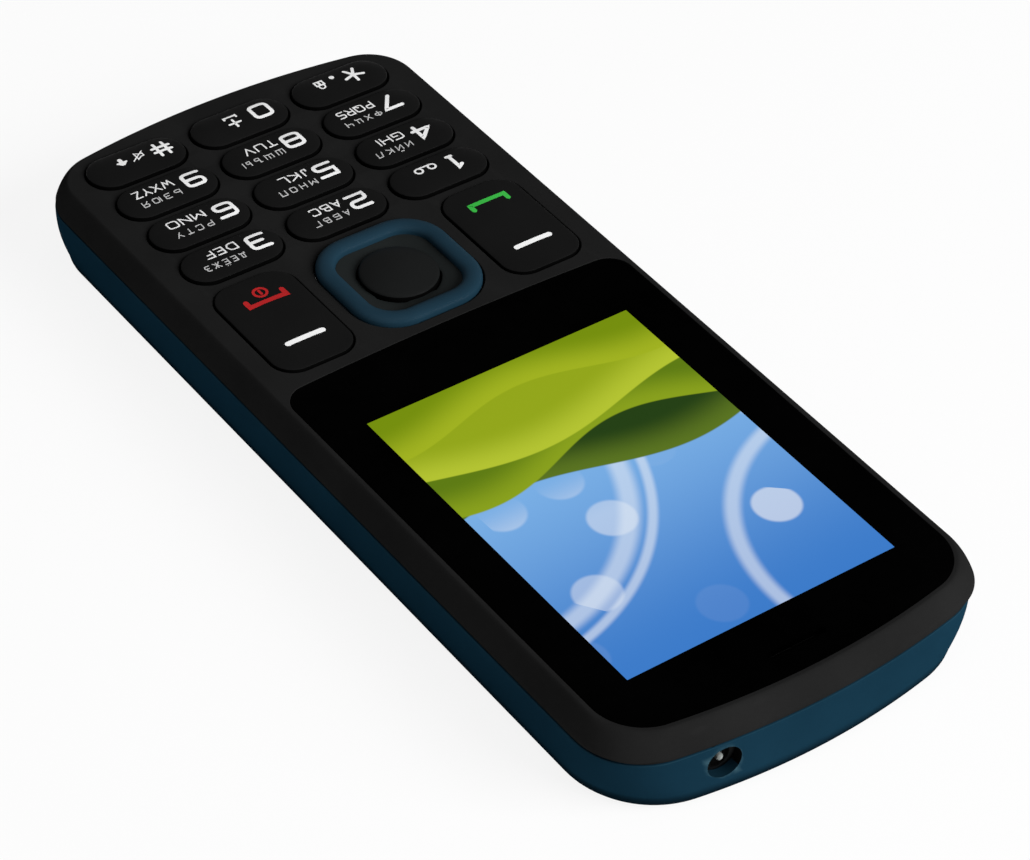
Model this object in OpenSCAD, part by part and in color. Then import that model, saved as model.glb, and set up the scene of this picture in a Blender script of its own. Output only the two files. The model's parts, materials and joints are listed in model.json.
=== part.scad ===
// Feature phone lying on its back: +X is its right side, +Y its top end, +Z out of the screen.
// The origin is under the middle of the phone, on the surface that it lies on. Millimetres.

/* [Front face] */
// Width of the front face
face_w = 49; // [48:0.1:52]
// Length of the front face along its middle
face_len = 120.8; // [120:0.1:126]
// Radius of the curved top end
top_end_r = 105; // [80:1:150]
// Radius of the curved bottom end
bottom_end_r = 114; // [80:1:150]
// Corner radius at the top of the face
face_top_corner_r = 7; // [6:0.1:9]
// Corner radius at the bottom of the face
face_bottom_corner_r = 5.8; // [4:0.1:7]
// Rounding of the edge of the face
face_edge_r = 0.4; // [0.2:0.05:0.6]

/* [Sides] */
// How far the front housing flares out past its face
lip_flare = 1.55; // [1.2:0.05:2]
// Depth of the widest line of the flare below the face
lip_drop = 2.85; // [2:0.05:3.2]
// Corner radius of the widest line at the top end
lip_top_corner_r = 6.9; // [6:0.1:8.5]
// How round the flare is, from 0 for straight to 1 for a quarter of an ellipse
flare_bulge = 0.6; // [0:0.05:1]
// Depth of the line where front and back meet, below the face
parting_drop = 3.45; // [3.3:0.05:3.9]
// Gap between front housing and battery cover
parting_gap = 0.15; // [0.1:0.01:0.3]
// How far the back stands out past the face at its long sides
shell_side_flare = 0.95; // [0.7:0.05:1.5]
// How far the back stands out past the face at the top end
shell_top_flare = 1.95; // [1.6:0.05:2.4]
// How far the back stands out past the face at the bottom end
shell_bottom_flare = 1.3; // [1:0.05:2]
// Radius of the top end of the back
shell_top_end_r = 90; // [70:1:150]
// Radius of the bottom end of the back
shell_bottom_end_r = 125; // [80:1:160]
// Corner radius at the top of the back
shell_top_corner_r = 11.5; // [10:0.1:13]
// Corner radius at the bottom of the back
shell_bottom_corner_r = 9.4; // [8:0.1:11]
// Rounding of the edge of the back
back_edge_r = 2.15; // [1.5:0.05:2.5]
// How full the walls of the back are, 1 for straight ones
shell_belly = 2.4; // [1:0.1:3]

/* [Walls] */
// Wall of the front housing at its sides, measured in from the face
front_side_wall = 1.1; // [1:0.05:1.3]
// Wall of the battery cover at its sides
cover_wall = 1; // [0.8:0.05:1.2]
// Floor of the battery cover
cover_t = 1; // [0.8:0.05:1.4]
// Outer wall of the inner chassis
frame_wall = 1; // [0.8:0.05:1.2]
// Floor of the inner chassis
frame_floor_t = 0.8; // [0.6:0.05:1]
// Walls of the battery bay
bay_wall = 0.8; // [0.6:0.05:1.2]
// Roof of the battery bay
bay_roof_t = 0.5; // [0.4:0.05:0.8]

/* [Display] */
// Distance from the lit screen to the long sides of the window
screen_side_margin = 5.5; // [5:0.1:6]
// Length of the keypad, from the window to the bottom end of the face
keypad_len = 52.15; // [51.8:0.05:54]
// Thickness of the window
lens_t = 0.9; // [0.7:0.05:1.2]
// Housing that shows beside the window
lens_rim = 0.65; // [0.5:0.05:1]
// Corner radius at the bottom of the window
lens_bottom_corner_r = 3; // [2:0.1:4]
// Radius of the window's bottom edge
lens_bottom_end_r = 400; // [200:10:600]
// Distance from the top of the window to the screen
screen_top_margin = 9; // [8:0.1:9.5]
// Distance from the screen to the bottom of the window
screen_bottom_margin = 10; // [9:0.1:11]
// Thickness of the tape under the window
tape_t = 0.1; // [0.05:0.01:0.2]
// Width of the tape under the window
tape_w = 1.6; // [1.2:0.1:2]
// Ledge that carries the window
ledge_t = 0.5; // [0.4:0.05:0.8]
// Opening in the ledge past the screen, on each side
view_margin = 0.8; // [0.5:0.1:1.2]
// Display module past the screen, on each long side
lcd_side_margin = 2.9; // [2.5:0.1:3.2]
// Display module past the screen, at the top
lcd_top_margin = 3.2; // [2.8:0.1:3.5]
// Display module past the screen, at the bottom
lcd_bottom_margin = 7.5; // [7:0.1:8]
// Thickness of the display module
lcd_t = 1.9; // [1.7:0.05:2.1]
// Wall of the display module's frame
lcd_wall = 0.6; // [0.4:0.05:0.8]
// Floor of the display module's frame
lcd_floor_t = 0.2; // [0.15:0.01:0.3]
// Thickness of the backlight
backlight_t = 0.7; // [0.5:0.05:0.8]
// Thickness of the dust gasket round the screen
gasket_t = 0.2; // [0.1:0.02:0.3]
// Thickness of the display ribbon
flex_t = 0.15; // [0.1:0.01:0.2]
// Width of the display ribbon
flex_w = 16; // [12:0.5:20]
// Length of the display ribbon's foot on the board
flex_foot = 0.8; // [0.5:0.1:1]
// Display module past the foam under it, on each side
cushion_inset = 3; // [2:0.5:5]
// Width of the earpiece slot
ear_slot_w = 8; // [6:0.1:10]
// Height of the earpiece slot
ear_slot_h = 1; // [0.8:0.05:1.3]
// Distance from the top of the window to the middle of the earpiece slot
ear_slot_drop = 3.4; // [3:0.1:3.6]

/* [Keys] */
// Face beside the outer columns of number keys
key_side_margin = 2.9; // [2.6:0.05:3.4]
// Housing between two columns of number keys
column_gap = 1.65; // [1.4:0.05:2]
// Housing between two rows of number keys
row_gap = 1.23; // [1:0.01:1.8]
// Distance from the bottom end of the face to the middle of the last row of number keys
keypad_end = 6.31; // [6.2:0.01:7]
// Face beside a function key
function_side_margin = 2.8; // [2.6:0.05:3.4]
// Housing between a function key and the navigation key
function_gap = 2.1; // [2:0.05:2.6]
// Height of a function key
function_h = 17.4; // [16:0.1:17.6]
// Corner radius of a function key
function_corner_r = 3; // [2:0.1:4]
// Width and height of the navigation key
nav_w = 17.6; // [16.5:0.1:18]
// Corner radius of the navigation key
nav_corner_r = 5.4; // [4:0.1:6]
// Width of the navigation key's rim
nav_band = 1.9; // [1.5:0.05:2.2]
// Radius of the round middle key
ok_r = 4.9; // [4.4:0.05:5.2]
// Distance from the bottom of the window to the middle of the navigation key
nav_drop = 10.5; // [10.4:0.05:11]
// Distance from the middle of the navigation key to the first row of number keys
first_row_drop = 13.35; // [13.2:0.05:13.8]
// How far number keys and function keys stand proud of the face
key_rise = 0.3; // [0.1:0.05:0.5]
// How far the rim of the navigation key stands proud of the face
nav_rise = 0.45; // [0.2:0.05:0.7]
// Depth of the dish inside the rim, below the face
nav_dish = 0.25; // [0.1:0.05:0.5]
// Depth of the rim's seat, below the face
nav_seat = 0.7; // [0.6:0.05:0.9]
// Gap round every key
key_gap = 0.22; // [0.15:0.01:0.3]
// Width of the flange that keeps a key in the housing
flange_w = 0.35; // [0.3:0.05:0.4]
// Thickness of a rocking key's flange
flange_t = 0.5; // [0.4:0.05:0.6]
// Room above a rocking key's flange
rock_room = 0.45; // [0.45:0.01:0.6]
// Room above a number key's flange
flange_gap = 0.1; // [0.05:0.01:0.15]
// How far a key can be pressed
key_travel = 0.35; // [0.3:0.01:0.4]
// Room left under a key that is pressed home
press_gap = 0.1; // [0.08:0.01:0.2]
// Length of each rib that the navigation key rocks on
pivot_len = 1.8; // [1.2:0.1:2]
// Width of each rib that the navigation key rocks on
pivot_w = 1.2; // [0.8:0.1:1.5]
// How far each rib reaches into the navigation key
pivot_reach = 0.35; // [0.25:0.05:0.4]
// How far each rib hangs below the navigation key
pivot_hang = 0.15; // [0.1:0.01:0.18]
// Room round each rib
pivot_gap = 0.15; // [0.1:0.01:0.2]
// Wall between each rib and the middle key's hole
pivot_wall = 0.4; // [0.3:0.05:0.6]

/* [Key contacts] */
// Thickness of the rubber mat
mat_t = 0.4; // [0.3:0.05:0.5]
// Length of the pegs under the mat
peg_h = 0.35; // [0.3:0.05:0.4]
// Radius of the pegs under the mat
peg_r = 1.1; // [0.8:0.05:1.4]
// Width of the two rails that carry the mat
mat_rail_w = 0.8; // [0.6:0.05:0.9]
// Room between peg and dome
dome_gap = 0.15; // [0.1:0.01:0.2]
// Radius of a snap dome
dome_r = 2; // [1.7:0.05:2.2]
// Height of a snap dome
dome_h = 0.3; // [0.25:0.01:0.4]
// Thickness of a snap dome's metal
dome_metal = 0.08; // [0.06:0.01:0.12]
// Thickness of the sheet that places the domes
sheet_t = 0.1; // [0.06:0.01:0.15]
// Distance from the middle of a function key to each of its domes
function_dome_y = 5.4; // [5:0.1:6]
// Distance from the middle of the navigation key to each of its domes
nav_dome_r = 7; // [6.8:0.1:7.4]
// Width of a key lamp
key_lamp_w = 1.6; // [1.2:0.1:1.8]
// Height of a key lamp
key_lamp_h = 0.5; // [0.4:0.05:0.6]

/* [Board] */
// Thickness of the main board
board_t = 0.8; // [0.6:0.05:1]
// Room for parts between the board and the battery bay
component_room = 0.6; // [0.5:0.05:0.8]
// Gap round the board
board_gap = 0.25; // [0.15:0.01:0.4]
// Height of a shield can
shield_h = 1.4; // [1:0.05:1.8]
// Sheet metal of a shield can
shield_metal = 0.2; // [0.15:0.01:0.3]
// Width of the radio shield
radio_w = 18; // [14:0.5:19]
// Length of the radio shield
radio_len = 13; // [10:0.5:14]
// Distance from the middle to the radio shield's middle
radio_x = 11.5; // [11:0.1:12]
// Width of the processor shield
processor_w = 14; // [10:0.5:15]
// Length of the processor shield
processor_len = 9.5; // [8:0.5:10]
// Width of a card socket
socket_w = 14; // [13:0.1:15]
// Length of a card socket
socket_len = 12.5; // [11:0.1:14]
// Card slot height in a card socket
card_slot_h = 0.6; // [0.4:0.05:0.7]
// Wall of a card socket
socket_wall = 0.8; // [0.6:0.05:1]
// Distance between the two SIM sockets
socket_apart = 4; // [3:0.1:6]
// Distance from the battery's middle to each card socket's middle, along the phone
socket_shift = 9; // [8:0.1:11]

/* [Battery] */
// Width of the battery
battery_w = 35.6; // [33:0.1:36]
// Room between the battery bay and the top end of the chassis
bay_head_room = 35.35; // [35:0.05:37]
// Room between the battery bay and the bottom end of the chassis
bay_tail_room = 30.5; // [30:0.05:32]
// Thickness of the battery
battery_t = 4.3; // [4:0.05:5]
// Corner radius of the battery
battery_corner_r = 1.5; // [1:0.1:2]
// Gap round the battery
battery_gap = 0.2; // [0.15:0.01:0.3]
// Width of a battery terminal
terminal_w = 1.8; // [1.2:0.1:2]
// Distance between battery terminals
terminal_pitch = 2.8; // [2.4:0.1:3]
// Thickness of a battery terminal
terminal_t = 0.1; // [0.05:0.01:0.15]
// Depth of the battery connector along the phone
connector_len = 3.4; // [3:0.1:3.8]

/* [Fit] */
// Gap between the chassis and the battery cover's sides
cover_gap = 0.2; // [0.15:0.01:0.3]
// Gap between the chassis and the battery cover's floor
cover_floor_gap = 0.3; // [0.2:0.01:0.4]
// Close fit between fixed pieces
fit = 0.1; // [0.05:0.01:0.15]
// Room round a piece that passes through another
room = 0.2; // [0.15:0.01:0.3]
// Least distance between neighbours under the board
part_gap = 1; // [0.6:0.1:1.4]
// Room round a plug, in the battery cover
port_room = 0.4; // [0.3:0.05:0.5]

/* [Screws] */
// Radius of a screw's shank
screw_r = 0.7; // [0.6:0.05:0.8]
// Radius of a screw's head
screw_head_r = 1.3; // [1.1:0.05:1.4]
// Height of a screw's head
screw_head_h = 0.8; // [0.6:0.05:1]
// Length of a screw's shank
screw_len = 3.8; // [3.2:0.05:4]
// Width of the cross in a screw's head
cross_w = 0.45; // [0.3:0.05:0.6]
// Rim of a screw's head round its cross
cross_rim = 0.4; // [0.3:0.05:0.5]
// Wall of a screw boss
boss_wall = 0.65; // [0.5:0.05:0.7]
// Distance from the side of the face to the screws beside the top of the display
top_screw_inset = 6.1; // [5.9:0.05:6.4]
// Distance from the side of the face to the screws beside the display's lower end
side_screw_inset = 3.9; // [3.7:0.05:4]

/* [Sound] */
// Width of the loudspeaker
speaker_w = 16; // [14:0.5:18]
// Length of the loudspeaker
speaker_len = 11; // [10:0.5:12]
// Corner radius of the loudspeaker
speaker_corner_r = 2; // [1.5:0.1:3]
// Distance from the middle to the loudspeaker's middle
speaker_x = 9; // [8.5:0.1:9.5]
// Rim of the loudspeaker round its cone
speaker_rim = 1.5; // [1.3:0.1:2]
// Thickness of the loudspeaker
speaker_t = 2.8; // [2.4:0.1:3.2]
// Thickness of the loudspeaker's gasket
speaker_gasket_t = 0.4; // [0.3:0.05:0.6]
// Width of a loudspeaker slot
sound_slot_w = 0.9; // [0.7:0.05:1.1]
// Length of a loudspeaker slot
sound_slot_len = 7; // [5:0.5:8]
// Distance between loudspeaker slots
sound_slot_pitch = 2; // [1.8:0.05:2.2]
// Width of the earpiece
ear_w = 11; // [10:0.5:13]
// Length of the earpiece along the phone
ear_len = 4.2; // [3.6:0.1:4.4]
// Thickness of the earpiece
ear_t = 2; // [1.6:0.1:2.2]
// Corner radius of the earpiece
ear_corner_r = 1; // [0.6:0.1:1.4]
// Width of a bar in the earpiece's grille
grille_bar = 0.35; // [0.25:0.05:0.4]
// Number of holes in the earpiece's grille
grille_holes = 6; // [4:1:7]
// Width of the microphone
mic_w = 3.8; // [3:0.1:4.5]
// Height of the microphone
mic_h = 1.2; // [1:0.05:1.4]
// Radius of the microphone hole
mic_hole_r = 0.6; // [0.4:0.05:0.8]
// Length of the microphone's boot
boot_len = 1.1; // [0.8:0.1:1.6]

/* [Vibration motor] */
// Radius of the motor
motor_r = 1.9; // [1.6:0.05:2]
// Length of the motor
motor_len = 8; // [7:0.1:9]
// Distance from the top end of the chassis to the motor's axis
motor_set_in = 5.2; // [5:0.1:5.6]
// Width of each of the motor's two cradles
cradle_w = 1.6; // [1.2:0.1:2]
// Radius of the motor's shaft
motor_shaft_r = 0.4; // [0.3:0.05:0.5]
// Radius of the weight
weight_r = 1.8; // [1.5:0.05:1.85]
// Length of the weight
weight_len = 3; // [2:0.1:3.5]
// Gap between motor and weight
weight_gap = 0.4; // [0.3:0.05:0.6]

/* [Sockets and lamp] */
// Width of the charging socket
usb_w = 7.6; // [7.2:0.1:8]
// Height of the charging socket
usb_h = 2.7; // [2.4:0.05:2.9]
// Depth of the charging socket
usb_len = 5.4; // [5:0.1:6]
// Sheet metal of the charging socket
usb_metal = 0.3; // [0.2:0.02:0.4]
// Thickness of the tongue in the charging socket
usb_tongue_t = 0.6; // [0.4:0.05:0.8]
// Width of the tongue in the charging socket
usb_tongue_w = 4.6; // [4:0.1:5]
// Distance from the mouth of the charging socket to its tongue
usb_tongue_set_in = 1; // [0.6:0.1:1.4]
// Room above the tongue in the charging socket
usb_tongue_drop = 0.4; // [0.3:0.05:0.6]
// Radius of the headset bore
jack_r = 1.8; // [1.7:0.01:1.85]
// Wall of the headset socket round its bore
jack_wall = 0.6; // [0.4:0.05:0.8]
// Length of the headset socket
jack_len = 11.5; // [10:0.5:13]
// Distance from the middle to the headset bore
jack_x = 14; // [13:0.1:14.5]
// Distance from the middle to the torch
torch_x = 13; // [12.5:0.1:13.6]
// Depth of the torch's middle below the face
torch_drop = 6.4; // [6.2:0.05:6.5]
// Radius of the torch's opening in the cover
torch_hole_r = 2.1; // [1.8:0.05:2.2]
// Radius of the torch lamp
torch_r = 1.5; // [1.3:0.05:1.6]
// Length of the torch lamp
torch_len = 4.6; // [4:0.1:5]
// Thickness of the torch lamp's foot
torch_foot_t = 0.8; // [0.6:0.05:1]
// Thickness of the antenna
antenna_t = 0.2; // [0.1:0.02:0.3]
// Width of the antenna
antenna_w = 36; // [30:0.5:38]
// Length of the antenna along the phone
antenna_len = 9; // [7:0.5:10]
// Width of the slots in the antenna
antenna_slot_w = 1; // [0.6:0.1:1.4]
// Metal left at the closed end of each slot in the antenna
antenna_turn = 2; // [1:0.1:3]

/* [Hidden] */
$fn = 64;
// A cut runs this far past the face that it opens
over = 0.5;
// Steps round each corner and along each end of an outline
corner_steps = 10;
end_steps = 5;
// Steps up the flare of the front housing
flare_steps = 3;

// Heights of the layers, from the back up to the face
z_bay_floor = cover_t + cover_floor_gap;
z_battery = z_bay_floor;
z_battery_top = z_battery + battery_t;
z_bay_roof = z_battery_top + battery_gap;
z_web = z_bay_roof + bay_roof_t;
z_board = z_web + component_room;
z_board_top = z_board + board_t;
z_dome_top = z_board_top + dome_h;
z_mat = z_dome_top + dome_gap + peg_h;
z_mat_top = z_mat + mat_t;
z_key = z_mat_top + press_gap + key_travel;
z_wall = z_key + flange_t + rock_room;
z_ledge_top = z_wall + ledge_t;
z_lens = z_ledge_top + tape_t;
z_face = z_lens + lens_t;
z_parting = z_face - parting_drop;
z_cover_top = z_parting - parting_gap;
z_frame_floor = z_bay_floor + frame_floor_t;
z_lcd_top = z_wall - gasket_t;
z_lcd = z_lcd_top - lcd_t;

// Lengths along the phone
top_reach = max(lip_flare, shell_top_flare);
bottom_reach = max(lip_flare, shell_bottom_flare);
overall_len = face_len + top_reach + bottom_reach;
face_top = overall_len / 2 - top_reach;
face_bottom = -overall_len / 2 + bottom_reach;
lens_top = face_top - lens_rim;
lens_bottom = face_bottom + keypad_len;
screen_w = face_w - 2 * (lens_rim + screen_side_margin);
screen_h = lens_top - lens_bottom - screen_top_margin - screen_bottom_margin;
screen_y = lens_top - screen_top_margin - screen_h / 2;
lcd_top = screen_y + screen_h / 2 + lcd_top_margin;
lcd_bottom = screen_y - screen_h / 2 - lcd_bottom_margin;
lcd_w = screen_w + 2 * lcd_side_margin;
lcd_len = lcd_top - lcd_bottom;
lcd_y = (lcd_top + lcd_bottom) / 2;
ear_y = lens_top - ear_slot_drop;
nav_y = lens_bottom - nav_drop;
first_row_y = nav_y - first_row_drop;
inside_top = face_top + min(lip_flare, shell_top_flare) - cover_wall - cover_gap;
inside_bottom = face_bottom - min(lip_flare, shell_bottom_flare) + cover_wall + cover_gap;
bay_top = inside_top - bay_head_room;
bay_bottom = inside_bottom + bay_tail_room;
battery_y = (bay_top + bay_bottom) / 2;
battery_len = bay_top - bay_bottom - 2 * battery_gap;
mat_top = nav_y + max(function_h, nav_w) / 2 + flange_w;

// Outlines, each given as half width, top, bottom, end radii and corner radii
function face_outline(o) = [
    face_w / 2 + o, face_top + o, face_bottom - o,
    top_end_r + o, bottom_end_r + o, face_top_corner_r + o, face_bottom_corner_r + o
];
// Flare between its widest line, at 0 degrees, and the flat face, at 90
function flare_at(t) =
    (1 - flare_bulge) * lip_flare * (1 - sin(t))
    + flare_bulge * ((lip_flare + face_edge_r) * cos(t) - face_edge_r);
function flare_outline(t) = [
    for (i = [0 : 6]) i == 5
        ? face_top_corner_r + (lip_top_corner_r - face_top_corner_r) * cos(t)
        : face_outline(flare_at(t))[i]
];
function shell_outline(o) = [
    face_w / 2 + shell_side_flare + o, face_top + shell_top_flare + o, face_bottom - shell_bottom_flare - o,
    shell_top_end_r + o, shell_bottom_end_r + o, shell_top_corner_r + o, shell_bottom_corner_r + o
];
function lens_outline(o) = [
    face_w / 2 - lens_rim + o, lens_top + o, lens_bottom - o, top_end_r - lens_rim + o,
    lens_bottom_end_r + o, face_top_corner_r - lens_rim + o, lens_bottom_corner_r + o
];
// The room inside the cover keeps clear of the narrower of its rim and its back
function inside_outline(o) = [
    face_w / 2 + min(lip_flare, shell_side_flare) - cover_wall + o,
    face_top + min(lip_flare, shell_top_flare) - cover_wall + o,
    face_bottom - min(lip_flare, shell_bottom_flare) + cover_wall - o,
    shell_top_end_r - cover_wall + o, shell_bottom_end_r - cover_wall + o,
    shell_top_corner_r - cover_wall + o, shell_bottom_corner_r - cover_wall + o
];
function mix(a, b, t) = [for (i = [0 : len(a) - 1]) a[i] + (b[i] - a[i]) * t];

// Points from the middle of the right side to the middle of the end at +Y
function end_points(half_w, reach, end_r, corner_r) =
    let (
        corner_x = half_w - corner_r,
        lift = sqrt(pow(end_r - corner_r, 2) - pow(corner_x, 2)),
        corner_y = reach - end_r + lift,
        meet = atan2(lift, corner_x)
    )
    concat(
        [for (i = [0 : corner_steps]) let (t = meet * i / corner_steps)
            [corner_x + corner_r * cos(t), corner_y + corner_r * sin(t)]],
        [for (i = [1 : end_steps]) let (t = meet + (90 - meet) * i / end_steps)
            [end_r * cos(t), reach - end_r + end_r * sin(t)]]
    );
function outline_points(o) =
    let (
        top = end_points(o[0], o[1], o[3], o[5]),
        bottom = end_points(o[0], -o[2], o[4], o[6]),
        last = len(top) - 1
    )
    concat(
        top,
        [for (i = [1 : last]) [-top[last - i][0], top[last - i][1]]],
        [for (p = bottom) [-p[0], -p[1]]],
        [for (i = [1 : last]) [bottom[last - i][0], -bottom[last - i][1]]]
    );
function ring(o, z) = [for (p = outline_points(o)) [p[0], p[1], z]];

module slab(o, z0, z1) {
    translate([0, 0, z0])
        linear_extrude(z1 - z0)
            polygon(outline_points(o));
}

// Solid through a stack of rings, lowest first
module loft(rings) {
    n = len(rings[0]);
    top = len(rings) - 1;
    polyhedron(
        points = [for (r = rings) each r],
        faces = concat(
            [[for (i = [0 : n - 1]) i]],
            [[for (i = [0 : n - 1]) top * n + n - 1 - i]],
            [for (k = [0 : top - 1]) for (i = [0 : n - 1]) let (j = (i + 1) % n)
                each [[k * n + i, k * n + n + i, k * n + n + j], [k * n + i, k * n + n + j, k * n + j]]]
        )
    );
}

// Box with its middle at [x, y] and its height from z0 to z1
module block(w, l, z0, z1, x = 0, y = 0) {
    translate([x - w / 2, y - l / 2, z0])
        cube([w, l, z1 - z0]);
}

module disc(r, z0, z1, x = 0, y = 0) {
    translate([x, y, z0])
        cylinder(r = r, h = z1 - z0);
}

// Bar with rounded ends along X
module pill(w, h, z0, z1) {
    block(w - h, h, z0, z1);
    for (side = [-1, 1])
        disc(h / 2, z0, z1, side * (w - h) / 2);
}

module rounded_block(w, l, r, z0, z1) {
    block(w - 2 * r, l, z0, z1);
    block(w, l - 2 * r, z0, z1);
    for (sx = [-1, 1])
        for (sy = [-1, 1])
            disc(r, z0, z1, sx * (w / 2 - r), sy * (l / 2 - r));
}

// Places of the keys, domes and screws
KEY_NAMES = [
    "key_1", "key_2", "key_3", "key_4", "key_5", "key_6",
    "key_7", "key_8", "key_9", "key_star", "key_0", "key_hash"
];
KEY_COUNT = len(KEY_NAMES);
COLUMNS = 3;
ROWS = KEY_COUNT / COLUMNS;
row_pitch = (first_row_y - face_bottom - keypad_end) / (ROWS - 1);
key_h = row_pitch - row_gap;
key_w = (face_w - 2 * key_side_margin - (COLUMNS - 1) * column_gap) / COLUMNS;
column_pitch = key_w + column_gap;
function_w = (face_w - nav_w) / 2 - function_side_margin - function_gap;
function_x = face_w / 2 - function_side_margin - function_w / 2;
function key_spot(i) = [(i % COLUMNS - 1) * column_pitch, first_row_y - floor(i / COLUMNS) * row_pitch];
dome_spots = concat(
    [for (i = [0 : KEY_COUNT - 1]) key_spot(i)],
    [for (side = [-1, 1]) for (end = [-1, 1]) [side * function_x, nav_y + end * function_dome_y]],
    [for (t = [0 : 90 : 270]) [nav_dome_r * cos(t), nav_y + nav_dome_r * sin(t)]],
    [[0, nav_y]]
);
lamp_spots = [for (side = [-1, 1]) for (row = [0, 1])
    [side * column_pitch / 2, first_row_y - (row + 0.5) * row_pitch]];

pilot_r = screw_r + fit / 2;
boss_r = pilot_r + boss_wall;
bore_r = screw_head_r + room;
column_r = bore_r + boss_wall;
top_screw_y = lcd_top + boss_r + room;
side_screw_y = (lcd_bottom + mat_top) / 2;
key_screw_y = first_row_y - (ROWS - 1.5) * row_pitch;
screw_spots = [for (side = [-1, 1]) each [
    [side * (face_w / 2 - top_screw_inset), top_screw_y],
    [side * (face_w / 2 - side_screw_inset), side_screw_y],
    [side * column_pitch / 2, key_screw_y]
]];

// Places of the pieces under the board
z_torch = z_face - torch_drop;
// How far an end of this radius falls back from its middle at x
function sag(r, x) = r - sqrt(pow(r, 2) - pow(x, 2));
torch_y = inside_top - sag(shell_top_end_r, torch_x);
motor_y = inside_top - motor_set_in;
z_motor = z_frame_floor + fit + motor_r;
speaker_spot = [-speaker_x, motor_y - motor_r - part_gap - speaker_len / 2];
z_speaker = z_frame_floor + speaker_gasket_t;
connector_y = bay_top + bay_wall + fit + connector_len / 2;
z_contact = z_battery + battery_t / 2;
connector_w = 2 * (terminal_pitch + bay_wall) + terminal_w;
processor_spot = [
    -connector_w / 2 - part_gap - processor_w / 2,
    bay_top + bay_wall + part_gap + processor_len / 2
];
radio_spot = [radio_x, connector_y + connector_len / 2 + part_gap + radio_len / 2];
socket_h = component_room + bay_roof_t;
socket_x = (socket_w + socket_apart) / 2;
socket_spots = [
    [-socket_x, battery_y - socket_shift],
    [socket_x, battery_y - socket_shift],
    [0, battery_y + socket_shift]
];
z_usb = z_board - usb_h;
z_jack = (z_board + z_frame_floor) / 2;
jack_y = inside_bottom + sag(shell_bottom_end_r, jack_x);
jack_w = 2 * (jack_r + jack_wall);
// Inner face of the chassis's bottom wall at x
inner_end_r = shell_bottom_end_r - cover_wall - cover_gap - frame_wall;
function end_wall_y(x) = inside_bottom + frame_wall + sag(inner_end_r, x);
mic_y = end_wall_y(jack_x + mic_w / 2) + fit + boot_len + mic_w / 2;
antenna_y = bay_bottom - bay_wall - part_gap - antenna_len / 2;

// Openings in the front housing, each as wide as its key and the gap round it
module key_openings() {
    for (i = [0 : KEY_COUNT - 1])
        translate(key_spot(i))
            pill(key_w + 2 * key_gap, key_h + 2 * key_gap, z_wall - over, z_face + over);
    for (side = [-1, 1])
        translate([side * function_x, nav_y])
            rounded_block(function_w + 2 * key_gap, function_h + 2 * key_gap,
                function_corner_r + key_gap, z_wall - over, z_face + over);
    translate([0, nav_y])
        rounded_block(nav_w + 2 * key_gap, nav_w + 2 * key_gap,
            nav_corner_r + key_gap, z_wall - over, z_face + over);
}

module front_housing() {
    color("#1d1d1d")
    difference() {
        union() {
            difference() {
                loft(concat(
                    [ring(face_outline(lip_flare), z_parting)],
                    [for (i = [0 : flare_steps]) let (t = 90 * i / flare_steps)
                        ring(flare_outline(t), z_face - lip_drop * (1 - sin(t)))]
                ));
                slab(face_outline(-front_side_wall), z_parting - over, z_wall);
            }
            for (spot = screw_spots)
                disc(boss_r, z_board_top, z_wall + ledge_t / 2, spot[0], spot[1]);
        }
        slab(lens_outline(fit), z_ledge_top, z_face + over);
        block(screen_w + 2 * view_margin, screen_h + 2 * view_margin, z_wall - over, z_face, 0, screen_y);
        translate([0, ear_y])
            pill(ear_slot_w + 2 * fit, ear_slot_h + 2 * fit, z_wall - over, z_face);
        key_openings();
        for (spot = screw_spots)
            disc(pilot_r, z_board_top - over, z_wall, spot[0], spot[1]);
    }
}

module battery_cover() {
    wall_rings = [0, 0.25, 0.5, 1];
    edge_angles = [22.5, 45, 67.5, 90];
    color("#16384a")
    difference() {
        loft(concat(
            [for (i = [len(edge_angles) - 1 : -1 : 0]) let (t = edge_angles[i])
                ring(shell_outline(back_edge_r * (cos(t) - 1)), back_edge_r * (1 - sin(t)))],
            [for (t = wall_rings)
                ring(mix(shell_outline(0), face_outline(lip_flare), 1 - pow(1 - t, shell_belly)),
                    back_edge_r + (z_cover_top - back_edge_r) * t)]
        ));
        slab(inside_outline(0), cover_t, z_cover_top + over);
        sound_slots(-over, cover_t + over);
        translate([torch_x, torch_y, z_torch])
            rotate([-90, 0, 0])
                cylinder(r = torch_hole_r, h = top_reach + cover_wall + over);
        translate([0, inside_bottom, z_usb + usb_h / 2])
            rotate([90, 0, 0])
                rounded_block(usb_w + 2 * port_room, usb_h + 2 * port_room, 2 * port_room,
                    -over, cover_wall + bottom_reach);
        translate([jack_x, jack_y, z_jack])
            rotate([90, 0, 0])
                cylinder(r = jack_r + 2 * port_room, h = cover_wall + bottom_reach);
        translate([-jack_x, jack_y, z_board - mic_h / 2])
            rotate([90, 0, 0])
                cylinder(r = mic_hole_r, h = cover_wall + bottom_reach);
    }
}

// Slots in front of the loudspeaker
module sound_slots(z0, z1) {
    count = floor((speaker_w - 2 * sound_slot_pitch) / sound_slot_pitch);
    for (i = [0 : count - 1])
        translate([speaker_spot[0] + (i - (count - 1) / 2) * sound_slot_pitch, speaker_spot[1]])
            rotate([0, 0, 90])
                pill(sound_slot_len, sound_slot_w, z0, z1);
}

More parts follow.
